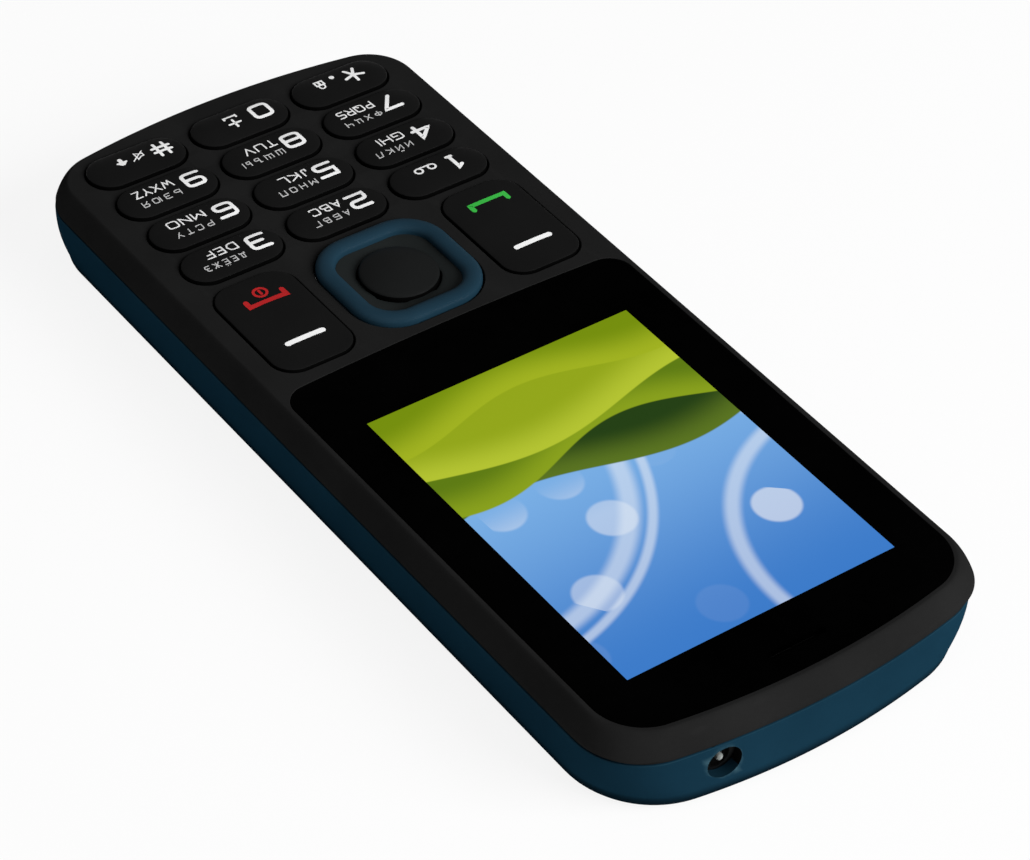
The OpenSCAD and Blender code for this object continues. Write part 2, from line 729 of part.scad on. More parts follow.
module mid_frame() {
    bay_w = battery_w + 2 * battery_gap;
    bay_len = bay_top - bay_bottom;
    color("#202326")
    difference() {
        slab(inside_outline(-cover_gap), z_bay_floor, z_parting);
        difference() {
            slab(inside_outline(-cover_gap - frame_wall), z_frame_floor, z_parting + over);
            block(bay_w + 2 * bay_wall, bay_len + 2 * bay_wall, 0, z_web, 0, battery_y);
            for (spot = screw_spots)
                disc(column_r, 0, z_board, spot[0], spot[1]);
            for (end = [-1, 1])
                block(cradle_w, 2 * motor_r, 0, z_motor, end * motor_len / 4, motor_y);
        }
        block(bay_w, bay_len, z_bay_floor - over, z_bay_roof, 0, battery_y);
        for (spot = socket_spots)
            block(socket_w + 2 * room, socket_len + 2 * room, z_bay_roof - over, z_web + over,
                spot[0], spot[1]);
        for (spot = screw_spots) {
            disc(bore_r, z_bay_floor - over, z_bay_roof, spot[0], spot[1]);
            disc(screw_r + room, z_bay_floor, z_board + over, spot[0], spot[1]);
        }
        block(connector_w, 4 * bay_wall, z_frame_floor, z_contact + terminal_w, 0, bay_top);
        sound_slots(z_bay_floor - over, z_frame_floor + over);
        translate([-motor_len / 2 - over, motor_y, z_motor])
            rotate([0, 90, 0])
                cylinder(r = motor_r + fit / 2, h = motor_len + 2 * over);
        translate([torch_x, torch_y - 3 * frame_wall, z_torch])
            rotate([-90, 0, 0])
                cylinder(r = torch_r + fit, h = 4 * frame_wall);
        block(usb_w + 2 * fit, 4 * frame_wall, z_usb - fit, z_board + over, 0, inside_bottom);
        translate([jack_x, jack_y + 2 * frame_wall, z_jack])
            rotate([90, 0, 0])
                cylinder(r = jack_r + fit, h = 4 * frame_wall);
        translate([-jack_x, jack_y + 2 * frame_wall, z_board - mic_h / 2])
            rotate([90, 0, 0])
                cylinder(r = mic_hole_r, h = 4 * frame_wall);
    }
}

module case_screws() {
    cross_len = 2 * (screw_head_r - cross_rim);
    color("#8d9094")
    for (spot = screw_spots)
        translate([spot[0], spot[1], z_bay_roof])
            difference() {
                union() {
                    translate([0, 0, -screw_head_h])
                        cylinder(r = screw_head_r, h = screw_head_h);
                    cylinder(r = screw_r, h = screw_len);
                }
                for (turn = [0, 90])
                    rotate([0, 0, turn])
                        block(cross_len, cross_w, -screw_head_h - over, -screw_head_h / 2);
            }
}

module display_lens() {
    color("#050505")
    difference() {
        slab(lens_outline(0), z_lens, z_face);
        translate([0, ear_y])
            pill(ear_slot_w, ear_slot_h, z_lens - over, z_face + over);
    }
}

module lens_adhesive() {
    color("#2b2b2b")
    difference() {
        slab(lens_outline(-fit), z_ledge_top, z_lens);
        slab(lens_outline(-fit - tape_w), z_ledge_top - over, z_lens + over);
    }
}

module lcd_frame() {
    color("#b9bcc0")
    difference() {
        block(lcd_w, lcd_len, z_lcd, z_lcd_top, 0, lcd_y);
        block(lcd_w - 2 * lcd_wall, lcd_len - 2 * lcd_wall, z_lcd + lcd_floor_t, z_lcd_top + over, 0, lcd_y);
    }
}

module lcd_backlight() {
    color("#f4f4ee")
    block(lcd_w - 2 * lcd_wall - 2 * fit, lcd_len - 2 * lcd_wall - 2 * fit,
        z_lcd + lcd_floor_t, z_lcd + lcd_floor_t + backlight_t, 0, lcd_y);
}

module lcd_glass() {
    color("#7fb2e0")
    block(lcd_w - 2 * lcd_wall - 2 * fit, lcd_len - 2 * lcd_wall - 2 * fit,
        z_lcd + lcd_floor_t + backlight_t, z_lcd_top, 0, lcd_y);
}

// Ribbon from the lower end of the display module down to the board
module lcd_flex() {
    color("#c07a2a") {
        block(flex_w, flex_t, z_board_top, z_lcd + lcd_t / 2, 0, lcd_bottom - flex_t / 2);
        block(flex_w, flex_foot, z_board_top, z_board_top + flex_t, 0, lcd_bottom - flex_t - flex_foot / 2);
    }
}

module lcd_gasket() {
    color("#3a3a3a")
    difference() {
        block(screen_w + 2 * lcd_side_margin, screen_h + 2 * lcd_side_margin, z_lcd_top, z_wall, 0, screen_y);
        block(screen_w + 2 * view_margin, screen_h + 2 * view_margin, z_lcd_top - over, z_wall + over,
            0, screen_y);
    }
}

// Foam that takes up the room between display module and board
module lcd_cushion() {
    color("#4a4d50")
    block(lcd_w - 2 * cushion_inset, lcd_len - 2 * cushion_inset, z_board_top, z_lcd, 0, lcd_y);
}

module earpiece_grille() {
    hole_w = (ear_slot_w - (grille_holes + 1) * grille_bar) / grille_holes;
    hole_h = ear_slot_h - 2 * grille_bar;
    color("#0c0c0c")
    translate([0, ear_y])
        difference() {
            pill(ear_slot_w, ear_slot_h, z_wall, z_ledge_top);
            for (i = [0 : grille_holes - 1])
                block(hole_w, hole_h, z_wall - over, z_ledge_top + over,
                    (i - (grille_holes - 1) / 2) * (hole_w + grille_bar));
        }
}

module earpiece() {
    color("#c9cbcd")
    difference() {
        translate([0, ear_y])
            rounded_block(ear_w, ear_len, ear_corner_r, z_wall - ear_t, z_wall);
        translate([0, ear_y])
            pill(ear_slot_w, ear_slot_h, z_wall - ear_t / 2, z_wall + over);
    }
}

module number_key(i) {
    color("#1f1f1f")
    translate(key_spot(i)) {
        pill(key_w, key_h, z_key, z_face + key_rise);
        pill(key_w + 2 * flange_w, key_h + 2 * flange_w, z_key, z_wall - flange_gap);
    }
}

module function_key(side) {
    color("#1f1f1f")
    translate([side * function_x, nav_y]) {
        rounded_block(function_w, function_h, function_corner_r, z_key, z_face + key_rise);
        rounded_block(function_w + 2 * flange_w, function_h + 2 * flange_w, function_corner_r + flange_w,
            z_key, z_key + flange_t);
    }
}

module left_function_key() {
    function_key(-1);
}

module right_function_key() {
    function_key(1);
}

// The two ribs lie along X, one on each side of the middle key
module pivot_ribs(gap) {
    rib_x = ok_r + key_gap + pivot_wall + pivot_len / 2;
    for (side = [-1, 1])
        block(pivot_len + 2 * gap, pivot_w + 2 * gap, z_key - pivot_hang - gap, z_key + pivot_reach + gap,
            side * rib_x);
}

module nav_key() {
    dish_w = nav_w - 2 * nav_band;
    color("#141414")
    translate([0, nav_y])
        difference() {
            union() {
                rounded_block(nav_w, nav_w, nav_corner_r, z_key, z_face - nav_seat);
                rounded_block(nav_w + 2 * flange_w, nav_w + 2 * flange_w, nav_corner_r + flange_w,
                    z_key, z_key + flange_t);
                rounded_block(dish_w, dish_w, nav_corner_r - nav_band, z_key, z_face - nav_dish);
            }
            disc(ok_r + key_gap, z_key - over, z_face + over);
            pivot_ribs(pivot_gap);
        }
}

module nav_ring() {
    dish_w = nav_w - 2 * nav_band + fit;
    color("#1d4358")
    translate([0, nav_y])
        difference() {
            rounded_block(nav_w, nav_w, nav_corner_r, z_face - nav_seat, z_face + nav_rise);
            rounded_block(dish_w, dish_w, nav_corner_r - nav_band + fit / 2,
                z_face - nav_seat - over, z_face + nav_rise + over);
        }
}

module nav_pivot() {
    color("#5a5d60")
    translate([0, nav_y])
        pivot_ribs(0);
}

module ok_key() {
    color("#1f1f1f")
    translate([0, nav_y])
        disc(ok_r, z_key, z_face + key_rise);
}

// Outline of the keypad's mat and sheet, inside the front housing
module keypad_area(inset, z0, z1) {
    intersection() {
        slab(face_outline(-front_side_wall - inset), z0, z1);
        block(face_w, mat_top - face_bottom + inset, z0 - over, z1 + over,
            0, (mat_top + face_bottom - inset) / 2);
    }
}

module keypad_mat() {
    color("#d8dadc")
    difference() {
        union() {
            keypad_area(room, z_mat, z_mat_top);
            for (spot = dome_spots)
                disc(peg_r, z_mat - peg_h, z_mat + mat_t / 2, spot[0], spot[1]);
            for (side = [-1, 1])
                block(mat_rail_w, (ROWS - 2) * row_pitch, z_board_top, z_mat_top,
                    side * (face_w / 2 - front_side_wall - 2 * room - mat_rail_w / 2),
                    first_row_y - (ROWS - 2) * row_pitch / 2);
        }
        for (spot = screw_spots)
            disc(boss_r + room, z_board_top - over, z_mat_top + over, spot[0], spot[1]);
    }
}

module dome_sheet() {
    color("#e6e3d2")
    difference() {
        keypad_area(mat_rail_w + 3 * room, z_board_top, z_board_top + sheet_t);
        for (spot = dome_spots)
            disc(dome_r + fit, z_board_top - over, z_board_top + over, spot[0], spot[1]);
        for (spot = screw_spots)
            disc(boss_r + room, z_board_top - over, z_board_top + over, spot[0], spot[1]);
        for (spot = lamp_spots)
            block(key_lamp_w + 2 * fit, key_lamp_w + 2 * fit, z_board_top - over, z_board_top + over,
                spot[0], spot[1]);
    }
}

// Thin round cap whose section follows an arc
module key_domes() {
    rise = dome_h - dome_metal;
    curve_r = (pow(dome_r, 2) + pow(rise, 2)) / (2 * rise);
    half_angle = asin(dome_r / curve_r);
    arc_steps = 4;
    arc = [for (i = [0 : arc_steps]) let (t = half_angle * i / arc_steps)
        [curve_r * sin(t), z_dome_top - curve_r * (1 - cos(t))]];
    color("#c4c7ca")
    for (spot = dome_spots)
        translate(spot)
            rotate_extrude()
                polygon(concat(arc, [for (i = [arc_steps : -1 : 0]) [arc[i][0], arc[i][1] - dome_metal]]));
}

module keypad_leds() {
    color("#f2f2e6")
    for (spot = lamp_spots)
        block(key_lamp_w, key_lamp_w, z_board_top, z_board_top + key_lamp_h, spot[0], spot[1]);
}

module main_board() {
    notch_w = 2 * (torch_r + room);
    color("#1f6b45")
    difference() {
        slab(inside_outline(-cover_gap - frame_wall - board_gap), z_board, z_board_top);
        for (spot = screw_spots)
            disc(screw_r + room, z_board - over, z_board_top + over, spot[0], spot[1]);
        block(notch_w, 2 * (torch_len + room), z_board - over, z_board_top + over, torch_x, torch_y);
    }
}

// Can that hangs under the board, open towards it
module shield_can(w, l, spot) {
    color("#aeb2b6")
    difference() {
        block(w, l, z_board - shield_h, z_board, spot[0], spot[1]);
        block(w - 2 * shield_metal, l - 2 * shield_metal, z_board - shield_h + shield_metal, z_board + over,
            spot[0], spot[1]);
    }
}

module radio_shield() {
    shield_can(radio_w, radio_len, radio_spot);
}

module processor_shield() {
    shield_can(processor_w, processor_len, processor_spot);
}

module card_holder(spot) {
    color("#c8cbce")
    difference() {
        block(socket_w, socket_len, z_board - socket_h, z_board, spot[0], spot[1]);
        block(socket_w - 2 * socket_wall, socket_len, z_board - card_slot_h, z_board + over,
            spot[0], spot[1] - socket_wall);
    }
}

module sim_socket_1() {
    card_holder(socket_spots[0]);
}

module sim_socket_2() {
    card_holder(socket_spots[1]);
}

module card_socket() {
    card_holder(socket_spots[2]);
}

// Flat plates let into the top end of the battery
module terminal_plates(depth) {
    for (i = [-1, 0, 1])
        block(terminal_w, depth, z_contact - terminal_w / 2, z_contact + terminal_w / 2,
            i * terminal_pitch, battery_y + battery_len / 2 - terminal_t + depth / 2);
}

module battery() {
    color("#d7d9da")
    difference() {
        translate([0, battery_y])
            rounded_block(battery_w, battery_len, battery_corner_r, z_battery, z_battery_top);
        terminal_plates(terminal_t + over);
    }
}

module battery_terminals() {
    color("#c9a23a")
    terminal_plates(terminal_t);
}

module battery_connector() {
    color("#17181a")
    block(connector_w, connector_len, z_frame_floor, z_board, 0, connector_y);
}

module battery_contacts() {
    contact_w = terminal_w / 2;
    contact_len = battery_gap / 2 + bay_wall + fit;
    color("#d2b04c")
    for (i = [-1, 0, 1])
        block(contact_w, contact_len, z_contact - contact_w / 2, z_contact + contact_w / 2,
            i * terminal_pitch, connector_y - connector_len / 2 - contact_len / 2);
}

// Opening in front of the loudspeaker's cone
module speaker_cone(z0, z1) {
    rounded_block(speaker_w - 2 * speaker_rim, speaker_len - 2 * speaker_rim, speaker_corner_r, z0, z1);
}

module loudspeaker() {
    color("#2a2c2e")
    translate(speaker_spot)
        difference() {
            rounded_block(speaker_w, speaker_len, speaker_corner_r, z_speaker, z_speaker + speaker_t);
            speaker_cone(z_speaker - over, z_speaker + speaker_t / 4);
        }
}

module speaker_gasket() {
    color("#45484b")
    translate(speaker_spot)
        difference() {
            rounded_block(speaker_w, speaker_len, speaker_corner_r, z_frame_floor, z_speaker);
            speaker_cone(z_frame_floor - over, z_speaker + over);
        }
}

module vibration_motor() {
    color("#b4b7ba")
    translate([-motor_len / 2, motor_y, z_motor])
        rotate([0, 90, 0])
            difference() {
                cylinder(r = motor_r, h = motor_len);
                translate([0, 0, motor_len / 2])
                    cylinder(r = motor_shaft_r + fit, h = motor_len);
            }
}

// Half round weight on its shaft, heavy side down
module vibration_weight() {
    color("#6d6a63")
    translate([motor_len / 2, motor_y, z_motor])
        rotate([0, 90, 0]) {
            translate([0, 0, -motor_len / 4])
                cylinder(r = motor_shaft_r, h = motor_len / 4 + weight_gap + weight_len);
            translate([0, 0, weight_gap])
                difference() {
                    cylinder(r = weight_r, h = weight_len);
                    translate([-2 * weight_r - motor_shaft_r, -weight_r, -over])
                        cube([2 * weight_r, 2 * weight_r, weight_len + 2 * over]);
                }
        }
}

module microphone() {
    color("#b9a05a")
    block(mic_w, mic_w, z_board - mic_h, z_board, -jack_x, mic_y);
}

// Rubber boot that leads from the hole in the end wall to the microphone
module microphone_boot() {
    color("#2f3133")
    difference() {
        block(mic_w, boot_len, z_board - 2 * mic_h, z_board, -jack_x, mic_y - mic_w / 2 - boot_len / 2);
        translate([-jack_x, mic_y, z_board - mic_h / 2])
            rotate([90, 0, 0])
                cylinder(r = mic_hole_r / 2, h = mic_w + boot_len);
    }
}

module usb_shell() {
    color("#bfc3c6")
    difference() {
        block(usb_w, usb_len, z_usb, z_board, 0, inside_bottom + usb_len / 2);
        block(usb_w - 2 * usb_metal, usb_len, z_usb + usb_metal, z_board - usb_metal,
            0, inside_bottom + usb_len / 2 - usb_metal);
    }
}

module usb_tongue() {
    tongue_len = usb_len - usb_metal - usb_tongue_set_in;
    z_tongue = z_board - usb_metal - usb_tongue_drop - usb_tongue_t;
    color("#101112")
    block(usb_tongue_w, tongue_len, z_tongue, z_tongue + usb_tongue_t,
        0, inside_bottom + usb_len - usb_metal - tongue_len / 2);
}

module audio_jack() {
    mouth_y = end_wall_y(jack_x + jack_w / 2) + fit;
    color("#191a1c")
    difference() {
        block(jack_w, jack_len, z_frame_floor, z_board, jack_x, mouth_y + jack_len / 2);
        translate([jack_x, jack_y + jack_len, z_jack])
            rotate([90, 0, 0])
                cylinder(r = jack_r, h = jack_len + over);
    }
}

// Round lamp with a domed end, looking out of the top end
module torch_led() {
    color("#f5f6f2")
    translate([torch_x, torch_y - torch_len, z_torch])
        rotate([-90, 0, 0]) {
            cylinder(r = torch_r, h = torch_len - torch_r);
            cylinder(r = torch_r + fit, h = torch_foot_t);
            translate([0, 0, torch_len - torch_r])
                sphere(r = torch_r);
        }
}

// Flat strip folded to and fro on the chassis floor
module antenna() {
    count = 5;
    color("#c79a55")
    difference() {
        block(antenna_w, antenna_len, z_frame_floor, z_frame_floor + antenna_t, 0, antenna_y);
        for (i = [0 : count - 1])
            block(antenna_slot_w, antenna_len, z_frame_floor - over, z_frame_floor + over,
                (i - (count - 1) / 2) * antenna_w / count,
                antenna_y + (i % 2 == 0 ? antenna_turn : -antenna_turn));
    }
}

front_housing();
battery_cover();
mid_frame();
case_screws();
display_lens();
lens_adhesive();
lcd_glass();
lcd_backlight();
lcd_frame();
lcd_flex();
lcd_gasket();
lcd_cushion();
earpiece_grille();
earpiece();
for (i = [0 : KEY_COUNT - 1])
    number_key(i);
left_function_key();
right_function_key();
nav_key();
nav_ring();
nav_pivot();
ok_key();
keypad_mat();
dome_sheet();
key_domes();
keypad_leds();
main_board();
radio_shield();
processor_shield();
sim_socket_1();
sim_socket_2();
card_socket();
battery();
battery_terminals();
battery_connector();
battery_contacts();
loudspeaker();
speaker_gasket();
vibration_motor();
vibration_weight();
microphone();
microphone_boot();
usb_shell();
usb_tongue();
audio_jack();
torch_led();
antenna();
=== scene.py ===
import json
import math

import bmesh
import bpy
from mathutils import Matrix, Vector
from mathutils.geometry import delaunay_2d_cdt


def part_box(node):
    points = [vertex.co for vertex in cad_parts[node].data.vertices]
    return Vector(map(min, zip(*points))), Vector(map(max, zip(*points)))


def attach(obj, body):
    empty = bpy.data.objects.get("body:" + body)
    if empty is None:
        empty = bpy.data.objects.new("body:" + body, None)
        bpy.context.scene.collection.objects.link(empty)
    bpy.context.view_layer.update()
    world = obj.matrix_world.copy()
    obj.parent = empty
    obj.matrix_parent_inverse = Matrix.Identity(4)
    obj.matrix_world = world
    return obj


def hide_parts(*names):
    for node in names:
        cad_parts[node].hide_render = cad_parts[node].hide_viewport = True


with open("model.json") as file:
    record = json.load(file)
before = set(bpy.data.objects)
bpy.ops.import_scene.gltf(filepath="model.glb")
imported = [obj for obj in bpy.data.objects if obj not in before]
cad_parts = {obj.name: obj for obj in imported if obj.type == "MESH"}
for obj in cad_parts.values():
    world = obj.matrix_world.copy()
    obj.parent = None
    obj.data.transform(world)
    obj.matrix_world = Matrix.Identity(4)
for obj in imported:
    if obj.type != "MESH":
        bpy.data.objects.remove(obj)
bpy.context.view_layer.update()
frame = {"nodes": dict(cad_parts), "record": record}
scene = bpy.context.scene
scene.view_settings.view_transform = "Standard"
mm = 0.001
weldDistance = 0.0005  # millimetres
tiny = 1e-6
print("frame loaded")


def boxOf(node):  # lowest and highest corner in millimetres
    low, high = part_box(node)
    return low / mm, high / mm


def middleOf(node):
    low, high = boxOf(node)
    return (low + high) / 2


def spread(start, end, count):
    return [start + (end - start) * i / count for i in range(count + 1)]


# How far a rolled edge draws in and drops, step by step
def rolled(radius, count, start=0.0, end=math.pi / 2):
    return [(radius * (math.cos(t) - 1), radius * (1 - math.sin(t))) for t in spread(start, end, count)]


def bendThrough(start, handle, end, count):  # points of a curve that leaves and arrives along the handle
    points = []
    for t in spread(0, 1, count):
        points.append(tuple(
            (1 - t) ** 2 * a + 2 * t * (1 - t) * b + t * t * c for a, b, c in zip(start, handle, end)
        ))
    return points


# Outlines run anticlockwise seen from above, in millimetres
def endArc(halfWidth, reach, endRadius, cornerRadius, cornerSteps=22, endSteps=26):
    cornerX, centreY = halfWidth - cornerRadius, reach - endRadius
    lift = math.sqrt((endRadius - cornerRadius) ** 2 - cornerX ** 2)
    meet = math.atan2(lift, cornerX)
    points = []
    for t in spread(0, meet, cornerSteps):
        points.append((cornerX + cornerRadius * math.cos(t), centreY + lift + cornerRadius * math.sin(t)))
    for t in spread(meet, math.pi / 2, endSteps)[1:]:
        points.append((endRadius * math.cos(t), centreY + endRadius * math.sin(t)))
    return points


def phoneOutline(shape, grow=0.0):
    half = shape["halfWidth"] + grow
    top = endArc(half, shape["top"] + grow, shape["topEnd"] + grow, shape["topCorner"] + grow)
    bottom = endArc(half, grow - shape["bottom"], shape["bottomEnd"] + grow, shape["bottomCorner"] + grow)
    leftTop = [(-x, y) for x, y in reversed(top[:-1])]
    leftBottom = [(-x, -y) for x, y in bottom]
    rightBottom = [(x, -y) for x, y in reversed(bottom[:-1])]
    return top + leftTop + leftBottom + rightBottom


def mixShapes(first, second, share):
    return {key: first[key] + (second[key] - first[key]) * share for key in first}


def roundRect(width, height, radius, grow=0.0, cornerSteps=12):
    halfX, halfY, turn = width / 2 + grow, height / 2 + grow, max(radius + grow, 0.02)
    points = []
    for quarter, (sx, sy) in enumerate(((1, 1), (-1, 1), (-1, -1), (1, -1))):
        for t in spread(quarter * math.pi / 2, (quarter + 1) * math.pi / 2, cornerSteps):
            spot = (sx * (halfX - turn) + turn * math.cos(t), sy * (halfY - turn) + turn * math.sin(t))
            if not points or math.dist(spot, points[-1]) > tiny:
                points.append(spot)
    return points if math.dist(points[0], points[-1]) > tiny else points[:-1]


def roundBar(width, height, grow=0.0):  # both ends half round
    return roundRect(width, height, height / 2, grow, 16)


def circle(radius, count=64):
    return [(radius * math.cos(t), radius * math.sin(t)) for t in spread(0, 2 * math.pi, count)[:-1]]


def ringAt(points, z, centre=(0, 0)):
    return [Vector((x + centre[0], y + centre[1], z)) for x, y in points]


def loft(mesh, rings, capFirst=False, capLast=False):
    rows = [[mesh.verts.new(point) for point in ring] for ring in rings]
    for low, high in zip(rows, rows[1:]):
        for i in range(len(low)):
            j = (i + 1) % len(low)
            mesh.faces.new((low[i], low[j], high[j], high[i]))
    if capFirst:
        mesh.faces.new(list(reversed(rows[0])))
    if capLast:
        mesh.faces.new(rows[-1])
    return rows


def solidFrom(rings, around=False):  # closed at both ends, or the last ring joined to the first
    mesh = bmesh.new()
    if around:
        loft(mesh, rings + [rings[0]])
    else:
        loft(mesh, rings, True, True)
    return mesh


def isInside(spot, loops):  # odd number of crossings on the way out
    crossings = 0
    for loop in loops:
        for a, b in zip(loop, loop[1:] + loop[:1]):
            if (a.y > spot.y) != (b.y > spot.y):
                crossings += spot.x < a.x + (b.x - a.x) * (spot.y - a.y) / (b.y - a.y)
    return crossings % 2 == 1


def fillBetween(mesh, loops):  # flat face between an outer loop and the holes in it
    corners = [vert for loop in loops for vert in loop]
    flatLoops = [[vert.co.xy for vert in loop] for loop in loops]
    edges = []
    for loop in loops:
        start = len(edges)
        edges += [(start + i, start + (i + 1) % len(loop)) for i in range(len(loop))]
    made = delaunay_2d_cdt([vert.co.xy for vert in corners], edges, [], 0, tiny)
    for triangle in made[2]:
        middle = sum((made[0][i] for i in triangle), Vector((0, 0))) / 3
        if isInside(middle, flatLoops):
            mesh.faces.new([corners[made[3][i][0]] for i in triangle])


def shadeSmooth(data, sharpAngle=32):
    data.shade_smooth()
    data.set_sharp_from_angle(angle=math.radians(sharpAngle))


def toObject(name, mesh, materials, sharpAngle=32):
    bmesh.ops.remove_doubles(mesh, verts=mesh.verts, dist=weldDistance)
    bmesh.ops.recalc_face_normals(mesh, faces=mesh.faces)
    bmesh.ops.scale(mesh, vec=(mm, mm, mm), verts=mesh.verts)
    data = bpy.data.meshes.new(name)
    mesh.to_mesh(data)
    mesh.free()
    for material in materials:
        data.materials.append(material)
    shadeSmooth(data, sharpAngle)
    piece = bpy.data.objects.new(name, data)
    scene.collection.objects.link(piece)
    return piece


def carryTo(mesh, node):  # from the origin to the middle of a key
    spot = middleOf(node)
    bmesh.ops.translate(mesh, verts=mesh.verts, vec=(spot.x, spot.y, 0))


def place(piece, body, replaces=()):
    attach(piece, body)
    if replaces:
        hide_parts(*replaces)


def cutOut(piece, cutters):
    for cutter in cutters:
        cut = piece.modifiers.new("cut", "BOOLEAN")
        cut.operation = "DIFFERENCE"
        cut.solver = "EXACT"
        cut.object = cutter
    bpy.context.view_layer.update()
    seen = piece.evaluated_get(bpy.context.evaluated_depsgraph_get())
    data = bpy.data.meshes.new_from_object(seen)
    mesh = bmesh.new()
    mesh.from_mesh(data)
    bmesh.ops.remove_doubles(mesh, verts=mesh.verts, dist=weldDistance * mm)
    mesh.to_mesh(data)
    mesh.free()
    piece.modifiers.clear()
    piece.data = data
    for cutter in cutters:
        bpy.data.objects.remove(cutter)
    shadeSmooth(data)
    steady = piece.modifiers.new("steady normals", "WEIGHTED_NORMAL")
    steady.keep_sharp = True
    steady.weight = 80


# Colours are written as they look on a screen, 0 to 255
def tone(red, green=None, blue=None):
    parts = []
    for value in (red, red if green is None else green, red if blue is None else blue):
        v = value / 255
        parts.append(v / 12.92 if v <= 0.04045 else ((v + 0.055) / 1.055) ** 2.4)
    return (*parts, 1.0)


def addNode(tree, kind, links=(), **settings):
    node = tree.nodes.new(kind)
    for key, value in settings.items():
        setattr(node, key, value)
    for socket, source in links:
        if isinstance(source, bpy.types.NodeSocket):
            tree.links.new(source, node.inputs[socket])
        else:
            node.inputs[socket].default_value = source
    return node


def reckon(tree, operation, *values):
    return addNode(tree, "ShaderNodeMath", list(enumerate(values)), operation=operation).outputs[0]


def reckonVector(tree, operation, first, second):
    return addNode(tree, "ShaderNodeVectorMath", [(0, first), (1, second)], operation=operation).outputs


def mixed(tree, share, first, second):
    links = [("Factor", share), ("A", first), ("B", second)]
    return addNode(tree, "ShaderNodeMix", links, data_type="RGBA").outputs[2]


def ranged(tree, value, low, high, **settings):
    links = [("Value", value), ("From Min", low), ("From Max", high)]
    return addNode(tree, "ShaderNodeMapRange", links, **settings).outputs["Result"]


def noise(tree, where, size, detail, rough=0.5):
    links = [("Vector", where), ("Scale", size), ("Detail", detail), ("Roughness", rough)]
    return addNode(tree, "ShaderNodeTexNoise", links).outputs["Fac"]


def axesOf(tree, vector):
    return addNode(tree, "ShaderNodeSeparateXYZ", [(0, vector)]).outputs


def onPiece(tree):  # places on the piece itself, so a pattern moves with it
    return addNode(tree, "ShaderNodeTexCoord").outputs["Object"]


def newGroup(name, inputs, outputs):
    tree = bpy.data.node_groups.new(name, "ShaderNodeTree")
    kinds = {3: "NodeSocketVector", 4: "NodeSocketColor"}
    for label, start in inputs.items():
        kind = "NodeSocketFloat" if isinstance(start, float) else kinds[len(start)]
        tree.interface.new_socket(label, in_out="INPUT", socket_type=kind).default_value = start
    for label in outputs:
        kind = "NodeSocketColor" if label == "Color" else "NodeSocketFloat"
        tree.interface.new_socket(label, in_out="OUTPUT", socket_type=kind)
    return tree, tree.nodes.new("NodeGroupInput").outputs


def giveOut(tree, **sources):
    end = tree.nodes.new("NodeGroupOutput")
    for label, source in sources.items():
        tree.links.new(source, end.inputs[label])
    return tree


# What the shared effects work with; the foot's heights are in millimetres
effectLook = {
    "grainShare": 0.35, "cloudRange": (0.45, 0.9), "stainSize": 160.0, "streakBase": 0.2,
    "edgeRange": (0.52, 0.62), "patchSize": 300.0, "footShadeHeights": (2.7, 1.7), "footShadeFacing": (-0.97, -0.8),
}


def makeMouldGrain():  # fine moulded texture and the slow cloudiness of its colour
    tree, given = newGroup(
        "mouldGrain", {"Grain Size": 4000.0, "Cloud Size": 90.0, "Dark": tone(20), "Light": tone(30)},
        ["Height", "Cloud", "Color"])
    where = onPiece(tree)
    grain = noise(tree, where, given["Grain Size"], 3.0, 0.6)
    cloud = noise(tree, where, given["Cloud Size"], 4.0)
    both = reckon(tree, "ADD", reckon(tree, "MULTIPLY", grain, effectLook["grainShare"]), cloud)
    share = ranged(tree, both, *effectLook["cloudRange"])
    color = mixed(tree, share, given["Dark"], given["Light"])
    return giveOut(tree, Height=grain, Cloud=share, Color=color)


def makeBrushedLines():  # long fine scratches along one axis of sheet metal
    tree, given = newGroup(
        "brushedLines",
        {"Line Size": 2500.0, "Stretch": (0.03, 1.0, 1.0), "Dark": tone(120), "Light": tone(190)},
        ["Height", "Streak", "Color"])
    where = onPiece(tree)
    drawn = reckonVector(tree, "MULTIPLY", where, given["Stretch"])[0]
    lines = noise(tree, drawn, given["Line Size"], 5.0)
    stain = noise(tree, where, effectLook["stainSize"], 3.0)
    streak = reckon(tree, "MULTIPLY_ADD", lines, stain, effectLook["streakBase"])
    color = mixed(tree, streak, given["Dark"], given["Light"])
    return giveOut(tree, Height=lines, Streak=streak, Color=color)


def makeEdgeWearAndHighlight():  # sharp edges painted lighter: partly polish from handling, partly a painted highlight where an edge catches the light
    tree, given = newGroup("edgeWearAndHighlight", {"Color": tone(30), "Wear And Highlight": tone(60), "Amount": 0.5}, ["Color"])
    corners = addNode(tree, "ShaderNodeNewGeometry").outputs["Pointiness"]
    edge = ranged(tree, corners, *effectLook["edgeRange"])
    patches = noise(tree, onPiece(tree), effectLook["patchSize"], 4.0)
    mask = reckon(tree, "MULTIPLY", reckon(tree, "MULTIPLY", edge, patches), given["Amount"])
    return giveOut(tree, Color=mixed(tree, mask, given["Color"], given["Wear And Highlight"]))


def makePaintedFootShade():  # painted shade on the rounded foot of a shell where it turns down, not on its flat back
    tree, given = newGroup("paintedFootShade", {"Color": tone(20), "Foot Shade": tone(8)}, ["Color"])
    where = addNode(tree, "ShaderNodeTexCoord").outputs
    low = ranged(tree, axesOf(tree, where["Object"])["Z"], *(z * mm for z in effectLook["footShadeHeights"]))
    turned = ranged(tree, axesOf(tree, where["Normal"])["Z"], *effectLook["footShadeFacing"])
    share = reckon(tree, "MULTIPLY", low, turned)
    return giveOut(tree, Color=mixed(tree, share, given["Color"], given["Foot Shade"]))


mouldGrain = makeMouldGrain()
brushedLines = makeBrushedLines()
edgeWearAndHighlight = makeEdgeWearAndHighlight()
paintedFootShade = makePaintedFootShade()


def startMaterial(name):
    material = bpy.data.materials.new(name)
    material.use_nodes = True
    tree = material.node_tree
    return material, tree, tree.nodes["Principled BSDF"]


def setInputs(shader, values):
    for label, value in values.items():
        shader.inputs[label].default_value = value


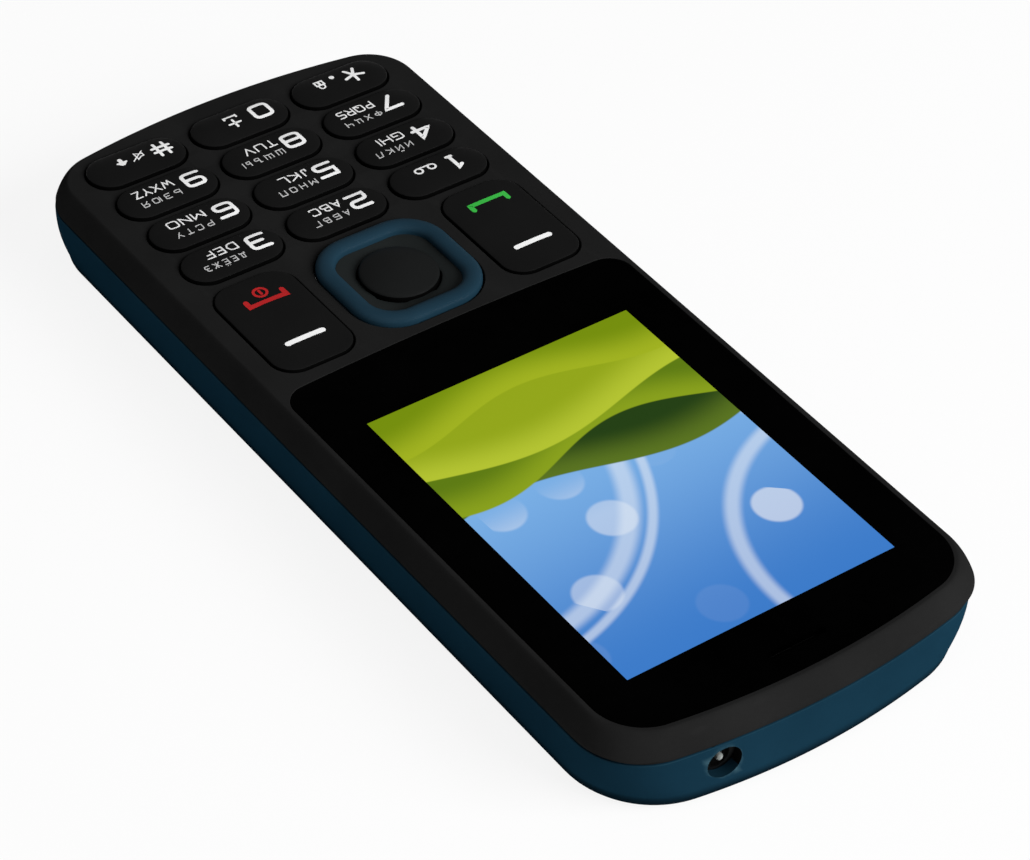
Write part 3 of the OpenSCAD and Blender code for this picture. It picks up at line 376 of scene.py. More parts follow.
def effect(tree, group, links):
    return addNode(tree, "ShaderNodeGroup", links, node_tree=group).outputs


def roughBetween(tree, shader, mask, low, high):
    rough = addNode(tree, "ShaderNodeMapRange", [("Value", mask), ("To Min", low), ("To Max", high)])
    tree.links.new(rough.outputs["Result"], shader.inputs["Roughness"])


def bumpFrom(tree, shader, height, strength, depth):
    links = [("Strength", strength), ("Distance", depth * mm), ("Height", height)]
    tree.links.new(addNode(tree, "ShaderNodeBump", links).outputs["Normal"], shader.inputs["Normal"])


# Grain and depth in millimetres; vary is how far the roughness strays
def moulded(name, dark, light, rough, grain=0.25, depth=0.01, specular=0.5, coat=0.0,
            wearAndHighlight=None, wearAndHighlightAmount=0.5, foot=None, cloud=90.0, vary=0.05):
    material, tree, shader = startMaterial(name)
    surface = effect(tree, mouldGrain, [
        ("Grain Size", 1 / (grain * mm)), ("Cloud Size", cloud), ("Dark", dark), ("Light", light)])
    color = surface["Color"]
    # lighter edges: partly wear, partly a painted highlight
    if wearAndHighlight:
        color = effect(tree, edgeWearAndHighlight, [("Color", color), ("Wear And Highlight", wearAndHighlight), ("Amount", wearAndHighlightAmount)])["Color"]
    # the foot colour is painted shade on faces that turn down near the bottom
    if foot:
        color = effect(tree, paintedFootShade, [("Color", color), ("Foot Shade", foot)])["Color"]
    tree.links.new(color, shader.inputs["Base Color"])
    roughBetween(tree, shader, surface["Cloud"], rough - vary, rough + vary)
    if depth:
        bumpFrom(tree, shader, surface["Height"], 0.35, depth)
    setInputs(shader, {"Specular IOR Level": specular, "Coat Weight": coat})
    return material


def sheetMetal(name, dark, light, rough=0.32, stretch=(0.03, 1.0, 1.0)):
    material, tree, shader = startMaterial(name)
    surface = effect(tree, brushedLines, [("Dark", dark), ("Light", light), ("Stretch", stretch)])
    tree.links.new(surface["Color"], shader.inputs["Base Color"])
    roughBetween(tree, shader, surface["Streak"], rough - 0.08, rough + 0.1)
    bumpFrom(tree, shader, surface["Height"], 0.3, 0.006)
    setInputs(shader, {"Metallic": 1.0})
    return material


def legendPaint(name, color, shade):  # printed legend with the slight unevenness of ink
    return moulded(name, shade, color, 0.45, grain=0.15, depth=0.003, specular=0.3)


finishes = {
    "housing": moulded("housingPlastic", tone(26), tone(31), 0.6, depth=0.012, specular=0.0,
                       wearAndHighlight=tone(34)),
    # the cover's lighter edges are mostly a painted highlight along the parting line, and its foot colour
    # is painted shade
    "cover": moulded("coverPlastic", tone(15, 40, 54), tone(18, 45, 60), 0.5, depth=0.008, specular=0.0,
                     wearAndHighlight=tone(56, 84, 94), wearAndHighlightAmount=1.4, foot=tone(9, 24, 33)),
    "chassis": moulded("chassisPlastic", tone(13, 14, 15), tone(19, 20, 21), 0.6, grain=0.4, depth=0.02),
    "key_cap": moulded("keyPlastic", tone(16), tone(20), 0.42, grain=0.18, depth=0.005, specular=0.16),
    "nav_plate": moulded("dishPlastic", tone(26, 29, 29), tone(31, 34, 34), 0.4, grain=0.18, depth=0.004,
                         specular=0.16),
    "ok_cap": moulded("okPlastic", tone(20, 21, 21), tone(25, 26, 26), 0.4, grain=0.18, depth=0.004,
                      specular=0.16),
    "nav_rim": moulded("rimPlastic", tone(21, 44, 57), tone(26, 50, 64), 0.42, grain=0.12, depth=0.004,
                       specular=0.25),
    # near-black sides of the key caps: painted shade in the gaps round the keys
    "key_side": moulded("keySideShade", tone(4), tone(7), 0.6, grain=0.18, depth=0.005, specular=0.02),
    # sleeve also paints the upper inside of the torch's mouth black, and mouth its lower wall darker blue:
    # painted shade in that hole
    "sleeve": moulded("sleevePlasticAndMouthShade", tone(3), tone(6), 0.6, grain=0.3, specular=0.05),
    "mouth": moulded("mouthShadeBlue", tone(11, 30, 40), tone(13, 34, 45), 0.6, depth=0.008, specular=0.0),
    "window_gloss": moulded("windowGloss", tone(0), tone(2), 0.045, grain=3.0, depth=0.0, specular=0.02,
                            cloud=40.0, vary=0.015),
    "lamp": moulded("lampResin", tone(98, 102, 101), tone(124, 128, 126), 0.08, grain=0.5, depth=0.0,
                    coat=0.6, cloud=500.0, vary=0.04),
    "black_plastic": moulded("socketPlastic", tone(20, 21, 22), tone(28, 29, 31), 0.5, grain=0.3),
    "tape": moulded("blackTape", tone(38), tone(48), 0.8, grain=0.5, depth=0.03),
    "foam": moulded("greyFoam", tone(50, 52, 54), tone(66, 68, 70), 0.9, grain=0.35, depth=0.12),
    "silicone": moulded("keyMatRubber", tone(198, 202, 204), tone(222, 225, 226), 0.5, grain=0.6,
                        depth=0.02),
    "film": moulded("domeFilm", tone(212, 208, 190), tone(232, 228, 212), 0.4, grain=0.8),
    "light_guide": moulded("lightGuide", tone(228, 228, 222), tone(240, 240, 236), 0.25, grain=0.5),
    "ribbon": moulded("ribbonFilm", tone(170, 104, 40), tone(196, 124, 52), 0.3, grain=0.5),
    "board": moulded("boardMask", tone(20, 92, 58), tone(34, 116, 74), 0.35, grain=0.9, depth=0.03),
    "grille": moulded("grilleMesh", tone(1), tone(3), 0.6, grain=0.2, specular=0.02),
    "battery_can": moulded("batteryWrap", tone(196, 198, 200), tone(214, 216, 217), 0.35, grain=0.5),
    "display": moulded("panelGlass", tone(40, 56, 76), tone(52, 68, 90), 0.08, grain=2.0, depth=0.001),
    "stamped_steel": sheetMetal("stampedSteel", tone(150, 153, 156), tone(196, 199, 202)),
    "screw_steel": sheetMetal("screwSteel", tone(132, 135, 138), tone(180, 183, 186), 0.38,
                              (1.0, 1.0, 0.1)),
    "spring_steel": sheetMetal("springSteel", tone(170, 173, 175), tone(206, 208, 210), 0.24),
    "gold": sheetMetal("goldPlate", tone(196, 152, 62), tone(226, 186, 96), 0.25),
    "antenna_metal": sheetMetal("antennaMetal", tone(178, 132, 72), tone(210, 164, 100), 0.35),
    "weight_metal": sheetMetal("weightMetal", tone(88, 86, 80), tone(122, 119, 112), 0.5, (1.0, 1.0, 1.0)),
}
paintWhite = legendPaint("legendWhite", tone(248), tone(236))
paintGrey = legendPaint("legendGrey", tone(196), tone(180))
paintGreen = legendPaint("legendGreen", tone(64, 190, 76), tone(50, 168, 60))
paintRed = legendPaint("legendRed", tone(190, 38, 40), tone(164, 30, 32))
print("finishes made:", len(finishes))

# Black front with its flared lip; heights are measured from the face
frontShell = {
    "flare": 1.55, "edge": 0.3, "bulge": 0.45, "lipDrop": 2.85, "lipCorner": 6.9, "partingDrop": 3.45,
    "rimTurn": 0.12, "wall": 1.1, "topEnd": 105.0, "bottomEnd": 114.0, "topCorner": 7.0,
    "bottomCorner": 5.8, "faceInset": 0.05, "holeEdge": 0.12, "windowEdge": 0.08, "holeInset": 0.03,
    "viewMargin": 0.8, "viewCorner": 0.2, "slotMargin": 0.05,
}
# Glossy window with the lit picture in its middle
window = {
    "edge": 0.05, "inset": 0.1, "gap": 0.08, "lowerEnd": 400.0, "lowerCorner": 3.0, "slotInset": 0.05,
    "screenWidth": 36.7, "screenHeight": 49.0, "screenCorner": 0.05, "screenDrop": 0.01, "topMargin": 9.0,
    "glow": 0.95,
}
# Key caps: the brim and the crown stand over the face, the rings are steps inward over the top
keyCap = {
    "width": 13.3, "height": 6.1, "gap": 0.22, "brim": 0.36, "crown": 0.3, "curve": 2.2, "edge": 0.16,
    "rings": (0.16, 0.26, 0.36, 0.46, 0.56, 0.66, 0.76, 0.86, 0.95),
}
functionCap = {
    "width": 10.8, "height": 17.4, "corner": 3.0, "brim": 0.2, "crown": 0.3, "curve": 2.2, "endCurve": 2.6,
    "endFall": 0.75, "edge": 0.14, "rings": (0.5, 0.9, 1.4, 1.9, 2.4, 2.9, 3.4, 3.9, 4.4, 4.9),
}
okCap = {
    "radius": 4.9, "brim": 0.22, "crown": 0.83, "edge": 0.3,
    "rings": (0.12, 0.22, 0.34, 0.46, 0.58, 0.7, 0.82, 0.94),
}
navCap = {
    "width": 17.6, "corner": 5.8, "band": 2.4, "rise": 0.8, "root": 0.2, "fullness": 0.65,
    "outerDrop": 0.12, "innerDrop": 0.05, "dish": 0.1, "dishSlope": 0.25, "dishGap": 0.03,
}
keyNames = [f"key_{n}" for n in (1, 2, 3, 4, 5, 6, 7, 8, 9, "star", 0, "hash")]
sides = ("left", "right")

housingLow, housingHigh = boxOf("front_housing")
faceZ = housingHigh.z
faceShape = {
    "halfWidth": housingHigh.x - frontShell["flare"], "top": housingHigh.y - frontShell["flare"],
    "bottom": housingLow.y + frontShell["flare"],
    **{key: frontShell[key] for key in ("topEnd", "bottomEnd", "topCorner", "bottomCorner")},
}
lensLow, lensHigh = boxOf("display_lens")
lensShape = {
    "halfWidth": lensHigh.x, "top": lensHigh.y, "bottom": lensLow.y,
    "topEnd": frontShell["topEnd"], "bottomEnd": window["lowerEnd"], "bottomCorner": window["lowerCorner"],
    "topCorner": frontShell["topCorner"] - (faceShape["halfWidth"] - lensHigh.x),
}
screenMiddle = (0.0, lensHigh.y - window["topMargin"] - window["screenHeight"] / 2)
slotSize = (boxOf("earpiece_grille")[1] - boxOf("earpiece_grille")[0]).xy
slotMiddle = middleOf("earpiece_grille").xy


def barOutline(grow):
    return roundBar(keyCap["width"], keyCap["height"], grow)


def functionOutline(grow):
    return roundRect(functionCap["width"], functionCap["height"], functionCap["corner"], grow)


def navOutline(grow):
    return roundRect(navCap["width"], navCap["width"], navCap["corner"], grow)


def okOutline(grow):
    return circle(okCap["radius"] + grow)


def frontHoles():  # each opening in the face: its outline as a function of how far it grows, and its middle
    holes = [(lambda grow: phoneOutline(lensShape, window["gap"] + grow), (0, 0))]
    keys = [(name, barOutline) for name in keyNames]
    keys += [(f"{side}_function_key", functionOutline) for side in sides]
    for name, outline in keys + [("nav_ring", navOutline)]:
        holes.append((lambda grow, outline=outline: outline(keyCap["gap"] + grow), middleOf(name).xy))
    return holes


def ledgeHoles():  # openings in the ledge under the window, for the display and the earpiece
    part = frontShell
    size = window["screenWidth"], window["screenHeight"]
    view = roundRect(*size, part["viewCorner"], part["viewMargin"], 3)
    return [(view, screenMiddle), (roundBar(*slotSize, part["slotMargin"]), slotMiddle)]


def buildFrontShell():
    part = frontShell
    flare, drop, rim, edge = part["flare"], part["partingDrop"], part["rimTurn"], part["edge"]
    wallZ, ledgeZ = boxOf("lcd_gasket")[1].z, boxOf("lens_adhesive")[0].z  # under the face, on the ledge
    corner, lipCorner = part["topCorner"], part["lipCorner"]
    inner = corner - part["wall"]
    profile = [(-part["wall"], wallZ - faceZ, inner), (-part["wall"], -drop, inner)]
    turned = bendThrough((flare - rim, -drop), (flare, -drop), (flare, rim - drop), 4)
    profile += [(grow, z, corner + grow) for grow, z in [(flare - 2 * rim, -drop), *turned]]
    for t in spread(0, math.pi / 2, 16):
        straight, curved = flare * (1 - math.sin(t)), (flare + edge) * math.cos(t) - edge
        grow = straight + (curved - straight) * part["bulge"]
        turn = corner + (lipCorner - corner) * math.cos(t)
        profile.append((grow, -part["lipDrop"] * (1 - math.sin(t)), turn))
    profile.append((profile[-1][0] - part["faceInset"], 0.0, corner))
    mesh = bmesh.new()
    rings = []
    for grow, z, turn in profile:
        rings.append(ringAt(phoneOutline({**faceShape, "topCorner": turn - grow}, grow), faceZ + z))
    rows = loft(mesh, rings)
    under, over, ledge = [rows[0]], [rows[-1]], []
    for number, (outline, spot) in enumerate(frontHoles()):
        isWindow = number == 0
        roll = part["windowEdge"] if isWindow else part["holeEdge"]
        rings = [ringAt(outline(roll + part["holeInset"]), faceZ, spot)]
        for grow, fall in rolled(roll, 4, math.pi / 2, 0):
            rings.append(ringAt(outline(-grow), faceZ - fall, spot))
        rings.append(ringAt(outline(0), ledgeZ if isWindow else wallZ, spot))
        hole = loft(mesh, rings)
        over.append(hole[0])
        (ledge if isWindow else under).append(hole[-1])
    for outline, spot in ledgeHoles():
        hole = loft(mesh, [ringAt(outline, ledgeZ, spot), ringAt(outline, wallZ, spot)])
        ledge.append(hole[0])
        under.append(hole[-1])
    for loops in (ledge, over, under):
        fillBetween(mesh, loops)
    piece = toObject("front_shell", mesh, [finishes["housing"]])
    place(piece, "phone", ["front_housing"])


buildFrontShell()
print("front shell made")

# Blue back that wraps the sides and both ends
rearShell = {
    "sideFlare": 0.95, "topFlare": 1.95, "bottomFlare": 1.3, "topEnd": 90.0, "bottomEnd": 125.0,
    "topCorner": 11.5, "bottomCorner": 9.4, "edge": 2.15, "wall": 1.0, "floor": 1.0, "rimTurn": 0.14,
    "belly": 2.4, "bellyRings": (0.85, 0.7, 0.55, 0.4, 0.25, 0.12), "proud": 0.08, "backInset": 0.2,
    "mouth": 2.1, "mouthShadeFrom": -1.2,
}
# Slots in front of the loudspeaker; a section is a height and how much wider the slot is there
speakerSlots = {
    "count": 6, "pitch": 2.0, "length": 7.0, "width": 0.9,
    "sections": ((-0.2, 0.3), (-0.01, 0.3), (0.28, 0.0), (1.4, 0.0)),
}
# Holes in both ends; a section is a way in from the end and the scale of the outline there
ports = {
    "torchInset": 1.15, "torchBore": (-5, 3), "channelBore": (-3, -0.34), "channel": (1.55, 4.0),
    "usbSize": (8.4, 3.5, 0.8), "usb_shell": ((-1, 1.12), (0.1, 1.05), (0.5, 1.0), (3, 1.0)),
    "audio_jack": ((-1, 3.1), (0.9, 2.75), (1.2, 2.6), (4, 2.6)),
    "microphone": ((-1, 0.9), (0.9, 0.7), (1.2, 0.6), (4, 0.6)),
}


def rearShapes():
    part = rearShell
    grow = frontShell["flare"] + part["proud"]
    rim = {key: value + (-grow if key == "bottom" else grow) for key, value in faceShape.items()}
    back = {key: part[key] for key in ("topEnd", "bottomEnd", "topCorner", "bottomCorner")}
    back["halfWidth"] = faceShape["halfWidth"] + part["sideFlare"]
    back["top"] = faceShape["top"] + part["topFlare"]
    back["bottom"] = faceShape["bottom"] - part["bottomFlare"]
    inside = {**back, "top": faceShape["top"] + frontShell["flare"]}
    return rim, back, inside


def tubeCutter(name, outline, spot, sections):  # cutter along Y, with its outline scaled at each section
    rings = []
    for y, scale in sections:
        rings.append([Vector((spot.x + x * scale, y, spot.z + z * scale)) for x, z in outline])
    return toObject(name, solidFrom(rings), [])


def slotCutters():
    part = speakerSlots
    speaker = middleOf("loudspeaker")
    cutters = []
    for i in range(part["count"]):
        spot = (speaker.x + (i - (part["count"] - 1) / 2) * part["pitch"], speaker.y)
        rings = []
        for z, wider in part["sections"]:
            bar = roundBar(part["length"], part["width"], wider)
            rings.append(ringAt([(-y, x) for x, y in bar], z, spot))
        cutters.append(toObject(f"slot_cutter_{i}", solidFrom(rings), []))
    return cutters


def portCutters():
    low, high = boxOf("battery_cover")
    torch, torchOut = middleOf("torch_led"), high.y - ports["torchInset"]
    bore = [(torchOut + y, rearShell["mouth"]) for y in ports["torchBore"]]
    half, height = ports["channel"]  # lets the cover slide off past the lamp
    channel = [(-half, 0.0), (half, 0.0), (half, height), (-half, height)]
    cutters = [
        tubeCutter("torch_cutter", circle(1.0, 72), torch, bore),
        tubeCutter("channel_cutter", channel, torch, [(torchOut + y, 1.0) for y in ports["channelBore"]]),
    ]
    outlines = {
        "usb_shell": roundRect(*ports["usbSize"]), "audio_jack": circle(1.0, 72),
        "microphone": circle(1.0, 40),
    }
    for node, outline in outlines.items():
        sections = [(low.y + y, scale) for y, scale in ports[node]]
        cutters.append(tubeCutter(f"{node}_cutter", outline, middleOf(node), sections))
    return cutters


def buildRearShell():
    part = rearShell
    rim, back, inside = rearShapes()
    topZ = boxOf("battery_cover")[1].z
    edge, turn = part["edge"], part["rimTurn"]
    rings = [ringAt(phoneOutline(inside, -part["wall"]), z) for z in (part["floor"], topZ)]
    rings.append(ringAt(phoneOutline(rim, -2 * turn), topZ))
    for grow, drop in rolled(turn, 4, math.pi / 2, 0):
        rings.append(ringAt(phoneOutline(rim, grow), topZ - drop))
    for height in part["bellyRings"]:
        share = 1 - (1 - height) ** part["belly"]
        z = edge + (topZ - turn - edge) * height
        rings.append(ringAt(phoneOutline(mixShapes(back, rim, share)), z))
    for grow, height in rolled(edge, 10):
        rings.append(ringAt(phoneOutline(back, grow), height))
    rings.append(ringAt(phoneOutline(back, -edge - part["backInset"]), 0.0))
    materials = [finishes[name] for name in ("cover", "sleeve", "mouth")]
    piece = toObject("rear_shell", solidFrom(rings), materials)
    cutOut(piece, slotCutters() + portCutters())
    torch = middleOf("torch_led")
    reach = part["mouth"] + 0.005  # just past the wall of the mouth
    for face in piece.data.polygons:  # painted shade inside the torch's mouth: black, with a darker blue lower wall
        away = Vector((face.center.x / mm - torch.x, face.center.z / mm - torch.z))
        if away.length < reach and face.center.y > 0:
            face.material_index = 1 if away.y > part["mouthShadeFrom"] else 2
    place(piece, "cover", ["battery_cover"])


buildRearShell()
print("rear shell made")

# Picture on the screen, in screen widths from its lower left corner
wallpaper = {
    "sky": (tone(128, 182, 236), tone(62, 126, 206)), "skyFade": (0.35, 1.35),
    "discTone": tone(240, 246, 252), "discShare": 0.55, "discSize": 4.2, "discRandom": 0.8,
    "discEdge": (0.36, 0.3), "discPick": (0.45, 0.95), "discRise": (0.5, 0.75),
    "arcTone": tone(232, 242, 252), "arcShare": 0.5, "arcCore": 0.2, "waveFade": (0.0, 0.16),
    "waveEdge": (-0.003, 0.004),
    "arcs": ((1.15, 0.35, 0.72, 0.05), (1.2, 0.3, 0.86, 0.025), (-0.2, 1.3, 0.62, 0.04)),
    "waves": (
        (0.56, 0.06, 0.8, 0.6, tone(38, 66, 22), tone(92, 118, 34)),
        (0.46, 0.07, 0.9, 2.9, tone(96, 126, 20), tone(140, 164, 30)),
        (0.34, 0.06, 0.75, 5.0, tone(150, 170, 28), tone(184, 200, 52)),
        (0.16, 0.05, 1.0, 1.5, tone(120, 146, 14), tone(164, 182, 34)),
    ),
}


def screenPicture():  # smooth green waves under a blue fade with pale arcs and discs of light
    part = wallpaper
    material, tree, shader = startMaterial("screenPicture")
    width, height = window["screenWidth"], window["screenHeight"]
    corner = ((screenMiddle[0] - width / 2) * mm, (screenMiddle[1] - height / 2) * mm, 0)
    moved = reckonVector(tree, "SUBTRACT", onPiece(tree), corner)[0]
    spot = reckonVector(tree, "MULTIPLY", moved, (1 / (width * mm), 1 / (width * mm), 1))[0]
    across, up, _ = axesOf(tree, spot)

    def soft(value, low, high):
        return ranged(tree, value, low, high, interpolation_type="SMOOTHSTEP")

    def times(first, second):
        return reckon(tree, "MULTIPLY", first, second)

    picture = mixed(tree, soft(up, *part["skyFade"]), *part["sky"])
    links = [("Vector", spot), ("Scale", part["discSize"]), ("Randomness", part["discRandom"])]
    discs = addNode(tree, "ShaderNodeTexVoronoi", links, voronoi_dimensions="2D").outputs
    pick = axesOf(tree, discs["Color"])["X"]
    disc = times(soft(discs["Distance"], *part["discEdge"]), soft(pick, *part["discPick"]))
    disc = times(disc, soft(up, *part["discRise"]))
    picture = mixed(tree, times(disc, part["discShare"]), picture, part["discTone"])
    for x, y, radius, line in part["arcs"]:
        away = reckonVector(tree, "DISTANCE", spot, (x, y, 0))["Value"]
        off = reckon(tree, "ABSOLUTE", reckon(tree, "SUBTRACT", away, radius))
        arc = soft(off, line, line * part["arcCore"])
        picture = mixed(tree, times(arc, part["arcShare"]), picture, part["arcTone"])
    for level, swell, count, shift, deep, crest in part["waves"]:
        wave = reckon(tree, "SINE", reckon(tree, "MULTIPLY_ADD", across, count * 2 * math.pi, shift))
        under = reckon(tree, "SUBTRACT", reckon(tree, "MULTIPLY_ADD", wave, swell, level), up)
        color = mixed(tree, soft(under, *part["waveFade"]), crest, deep)
        picture = mixed(tree, soft(under, *part["waveEdge"]), picture, color)
    tree.links.new(picture, shader.inputs["Emission Color"])
    setInputs(shader, {"Emission Strength": window["glow"], "Base Color": tone(2), "Roughness": 0.05,
                       "Specular IOR Level": 0.02})
    return material


def buildWindow():
    part = window
    mesh = bmesh.new()
    rings = [ringAt(phoneOutline(lensShape), lensLow.z)]
    for grow, drop in rolled(part["edge"], 4):
        rings.append(ringAt(phoneOutline(lensShape, grow), faceZ - drop))
    rings.append(ringAt(phoneOutline(lensShape, -part["edge"] - part["inset"]), faceZ))
    rows = loft(mesh, rings)
    sections = ((part["slotInset"], faceZ), (0, faceZ), (0, lensLow.z))
    hole = loft(mesh, [ringAt(roundBar(*slotSize, grow), z, slotMiddle) for grow, z in sections])
    picture = roundRect(part["screenWidth"], part["screenHeight"], part["screenCorner"], 0, 1)
    edges = loft(mesh, [ringAt(picture, faceZ - drop, screenMiddle) for drop in (0, part["screenDrop"])])
    mesh.faces.new(edges[1]).material_index = 1
    fillBetween(mesh, [rows[-1], hole[0], edges[0]])
    fillBetween(mesh, [rows[0], hole[-1]])
    piece = toObject("screen_window", mesh, [finishes["window_gloss"], screenPicture()])
    place(piece, "phone", ["display_lens"])


buildWindow()
print("window made")


# Height of a key's top over the face, seen from its own middle
def barCrown(x, y):
    part = keyCap
    half = part["height"] / 2
    away = math.hypot(max(abs(x) - (part["width"] / 2 - half), 0), y) / half
    return part["brim"] + part["crown"] * (1 - min(away, 1) ** part["curve"])


def functionCrown(x, y):
    part = functionCap
    across, along = min(abs(2 * x / part["width"]), 1), min(abs(2 * y / part["height"]), 1)
    swell = (1 - across ** part["curve"]) * (1 - part["endFall"] * along ** part["endCurve"])
    return part["brim"] + part["crown"] * swell


def okCrown(x, y):
    part = okCap
    away = math.hypot(x, y) / part["radius"]
    return part["brim"] + part["crown"] * (1 - min(away, 1) ** 2)


def capMesh(outline, crown, edge, baseZ, insets):  # cap with a rolled edge and a crowned top
    skirt, sideSlope = 0.35, 0.55  # straight wall under the edge; faces steeper than this count as side

    def level(points, drop=0.0):
        return [Vector((x, y, faceZ + crown(x, y) - drop)) for x, y in points]

    rings = [ringAt(outline(0), baseZ), level(outline(0), edge + skirt)]
    rings += [level(outline(grow), drop) for grow, drop in rolled(edge, 5)]
    rings += [level(outline(-inset)) for inset in insets]
    mesh = solidFrom(rings)
    bmesh.ops.recalc_face_normals(mesh, faces=mesh.faces)
    # steep side faces take the near-black side finish: painted shade in the gap round the key
    for face in mesh.faces:
        face.material_index = 0 if face.normal.z > sideSlope else 1
    return mesh


def buildKeyCaps():
    caps = []  # piece, node, body, finish, outline, crown, values, and what a ring step is worth
    for key in keyNames:
        half = keyCap["height"] / 2
        caps.append((f"cap_{key}", key, key, "key_cap", barOutline, barCrown, keyCap, half))
    for side in sides:
        caps.append((f"cap_{side}_function", f"{side}_function_key", f"{side}_function", "key_cap",
                     functionOutline, functionCrown, functionCap, 1.0))
    caps.append(("cap_ok", "ok_key", "ok", "ok_cap", okOutline, okCrown, okCap, okCap["radius"]))
    for name, node, body, finish, outline, crown, part, unit in caps:
        insets = [unit * ring for ring in part["rings"]]
        mesh = capMesh(outline, crown, part["edge"], boxOf(node)[0].z, insets)
        carryTo(mesh, node)
        piece = toObject(name, mesh, [finishes[finish], finishes["key_side"]], sharpAngle=40)
        place(piece, body, [node])


def buildNavigationKey():
    part = navCap
    band, dish, outerDrop = part["band"], part["dish"], part["outerDrop"]
    spot, seat = middleOf("nav_ring").xy, boxOf("nav_ring")[0].z
    section = [(0.0, seat), (0.0, faceZ - outerDrop)]
    for t in spread(0, math.pi, 16)[1:-1]:
        inward = band * (1 - math.cos(t)) / 2
        root = faceZ - outerDrop - (dish - outerDrop) * inward / band
        section.append((-inward, root + (part["rise"] + part["root"]) * math.sin(t) ** part["fullness"]))
    section += [(-band, faceZ - dish - part["innerDrop"]), (-band, seat)]
    rings = [ringAt(navOutline(grow), z, spot) for grow, z in section]
    piece = toObject("nav_rim", solidFrom(rings, around=True), [finishes["nav_rim"]], sharpAngle=50)
    place(piece, "nav", ["nav_ring"])
    base, hole = boxOf("nav_key")[0].z, okCap["radius"] + keyCap["gap"]
    square = navOutline(-band - part["dishGap"])

    def squareToRound(share, z):  # ring between the rim's inner edge and the round hole
        points = []
        for x, y in square:
            length = math.hypot(x, y)
            points.append((x + (x / length * hole - x) * share, y + (y / length * hole - y) * share))
        return ringAt(points, z, spot)

    lowest = faceZ - dish - part["dishSlope"]
    rings = [squareToRound(0, base)]
    for share in spread(0, 0.94, 6):
        rings.append(squareToRound(share, faceZ - dish - part["dishSlope"] * share))
    for share, z in ((0.985, lowest - 0.03), (1, lowest - 0.12), (1, base)):  # edge and wall of the hole
        rings.append(squareToRound(share, z))
    piece = toObject("nav_dish", solidFrom(rings, around=True), [finishes["nav_plate"]], sharpAngle=40)
    place(piece, "nav", ["nav_key"])


buildKeyCaps()
buildNavigationKey()
print("keys made")

# Plain stroke letters on a grid 4 wide and 6 high: - joins a stroke's points, and a dot rounds a corner
glyphs = {
    "0": "00.-06.-46.-40.-00.", "1": "05-26-20 10-30", "2": "06-46.-43.-03.-00-40",
    "3": "06-46.-40.-00 13-43", "4": "30-36-02-42", "5": "46-06-03-43.-40.-00",
    "6": "46-06.-00.-40.-43.-03", "7": "06-46-10", "8": "06.-46.-40.-00.-06. 03-43",
    "9": "43-03.-06.-46.-40.-00", "#": "10-16 30-36 02-42 04-44", "*": "23-26 23-44 23-30 23-10 23-04",
    "A": "00-26-40 12-32", "B": "00-06-36.-33.-03 23-43.-40.-00", "C": "45-46.-06.-00.-40.-41",
    "D": "00-06-36.-43-30.-00", "E": "46-06-00-40 03-33", "F": "46-06-00 03-33", "G": "46-06.-00.-40-43-23",
    "H": "00-06 40-46 03-43", "I": "20-26", "J": "36-30.-00-02", "K": "00-06 46-03-40", "L": "06-00-40",
    "M": "00-06-22-46-40", "N": "00-06-40-46", "O": "00.-06.-46.-40.-00.", "P": "00-06-46.-43.-03",
    "Q": "00.-06.-46.-40.-00. 22-40", "R": "00-06-46.-43.-03 23-40", "S": "46-06.-03.-43.-40.-00",
    "T": "06-46 20-26", "U": "06-00.-40.-46", "V": "06-20-46", "W": "06-10-24-30-46", "X": "00-46 06-40",
    "Y": "06-23-46 23-20", "Z": "06-46-00-40",
    "Б": "46-06-00-40.-43.-03", "Г": "00-06-46", "Д": "00-01-41-40 11-16-36-31",
    "Ё": "46-06-00-40 03-33 18-18 38-38", "Ж": "20-26 06-40 00-46", "З": "06-36.-33.-13 23-43.-40.-00",
    "И": "06-00-46-40", "Й": "06-00-46-40 18-38", "Л": "00-16-46-40", "П": "00-06-46-40",
    "У": "06-23 46-10", "Ф": "20-26 05.-45.-42.-02.-05.", "Ц": "06-01-41-40 36-31", "Ч": "06-03.-43 46-40",
    "Ш": "06-00-40-46 20-26", "Щ": "06-01-41-40 26-21 46-41", "Ъ": "06-16-10-40.-43.-13",
    "Ы": "06-00-20.-23.-03 46-40", "Ь": "06-00-40.-43.-03", "Э": "06-46.-40.-00 13-43",
    "Ю": "00-06 03-13 16.-46.-40.-10.-16.", "Я": "40-46-06.-03.-43 23-00",
}
twins = dict(zip("АВЕКМНОРСТХ", "ABEKMHOPCTX"))  # letters that look the same in both alphabets
strokes = {
    "lift": 0.012, "sink": 0.05, "step": 0.3, "cornerCut": 1.3, "sharpest": 0.6,
    "endAngles": (1.5, 1.25, 1.0, 0.7, 0.35),
}


def readGlyph(sign):  # strokes as points of the grid, each with its corner flag
    return [
        [(float(p[0]), float(p[1]), p.endswith(".")) for p in stroke.split("-")]
        for stroke in glyphs[twins.get(sign, sign)].split()
    ]


def roundedPath(points):  # cuts flagged corners with a curve; a path that ends where it starts is closed
    closed = len(points) > 2 and points[0][:2] == points[-1][:2]
    nodes = points[:-1] if closed else points
    path = []
    for i, (x, y, isRound) in enumerate(nodes):
        inner = closed or 0 < i < len(nodes) - 1
        here = Vector((x, y))
        if not (isRound and inner):
            path.append(here)
            continue
        before, after = Vector(nodes[i - 1][:2]), Vector(nodes[(i + 1) % len(nodes)][:2])
        cut = min(strokes["cornerCut"], (before - here).length / 2, (after - here).length / 2)
        start = here + (before - here).normalized() * cut
        end = here + (after - here).normalized() * cut
        path += [Vector(p) for p in bendThrough(start, here, end, 5)]
    return path, closed


def finePath(path, closed):
    points = []
    ends = path + [path[0]] if closed else path
    for a, b in zip(ends, ends[1:]):
        count = max(1, math.ceil((b - a).length / strokes["step"]))
        points += [a.lerp(b, i / count) for i in range(count)]
    return points if closed else points + [path[-1]]


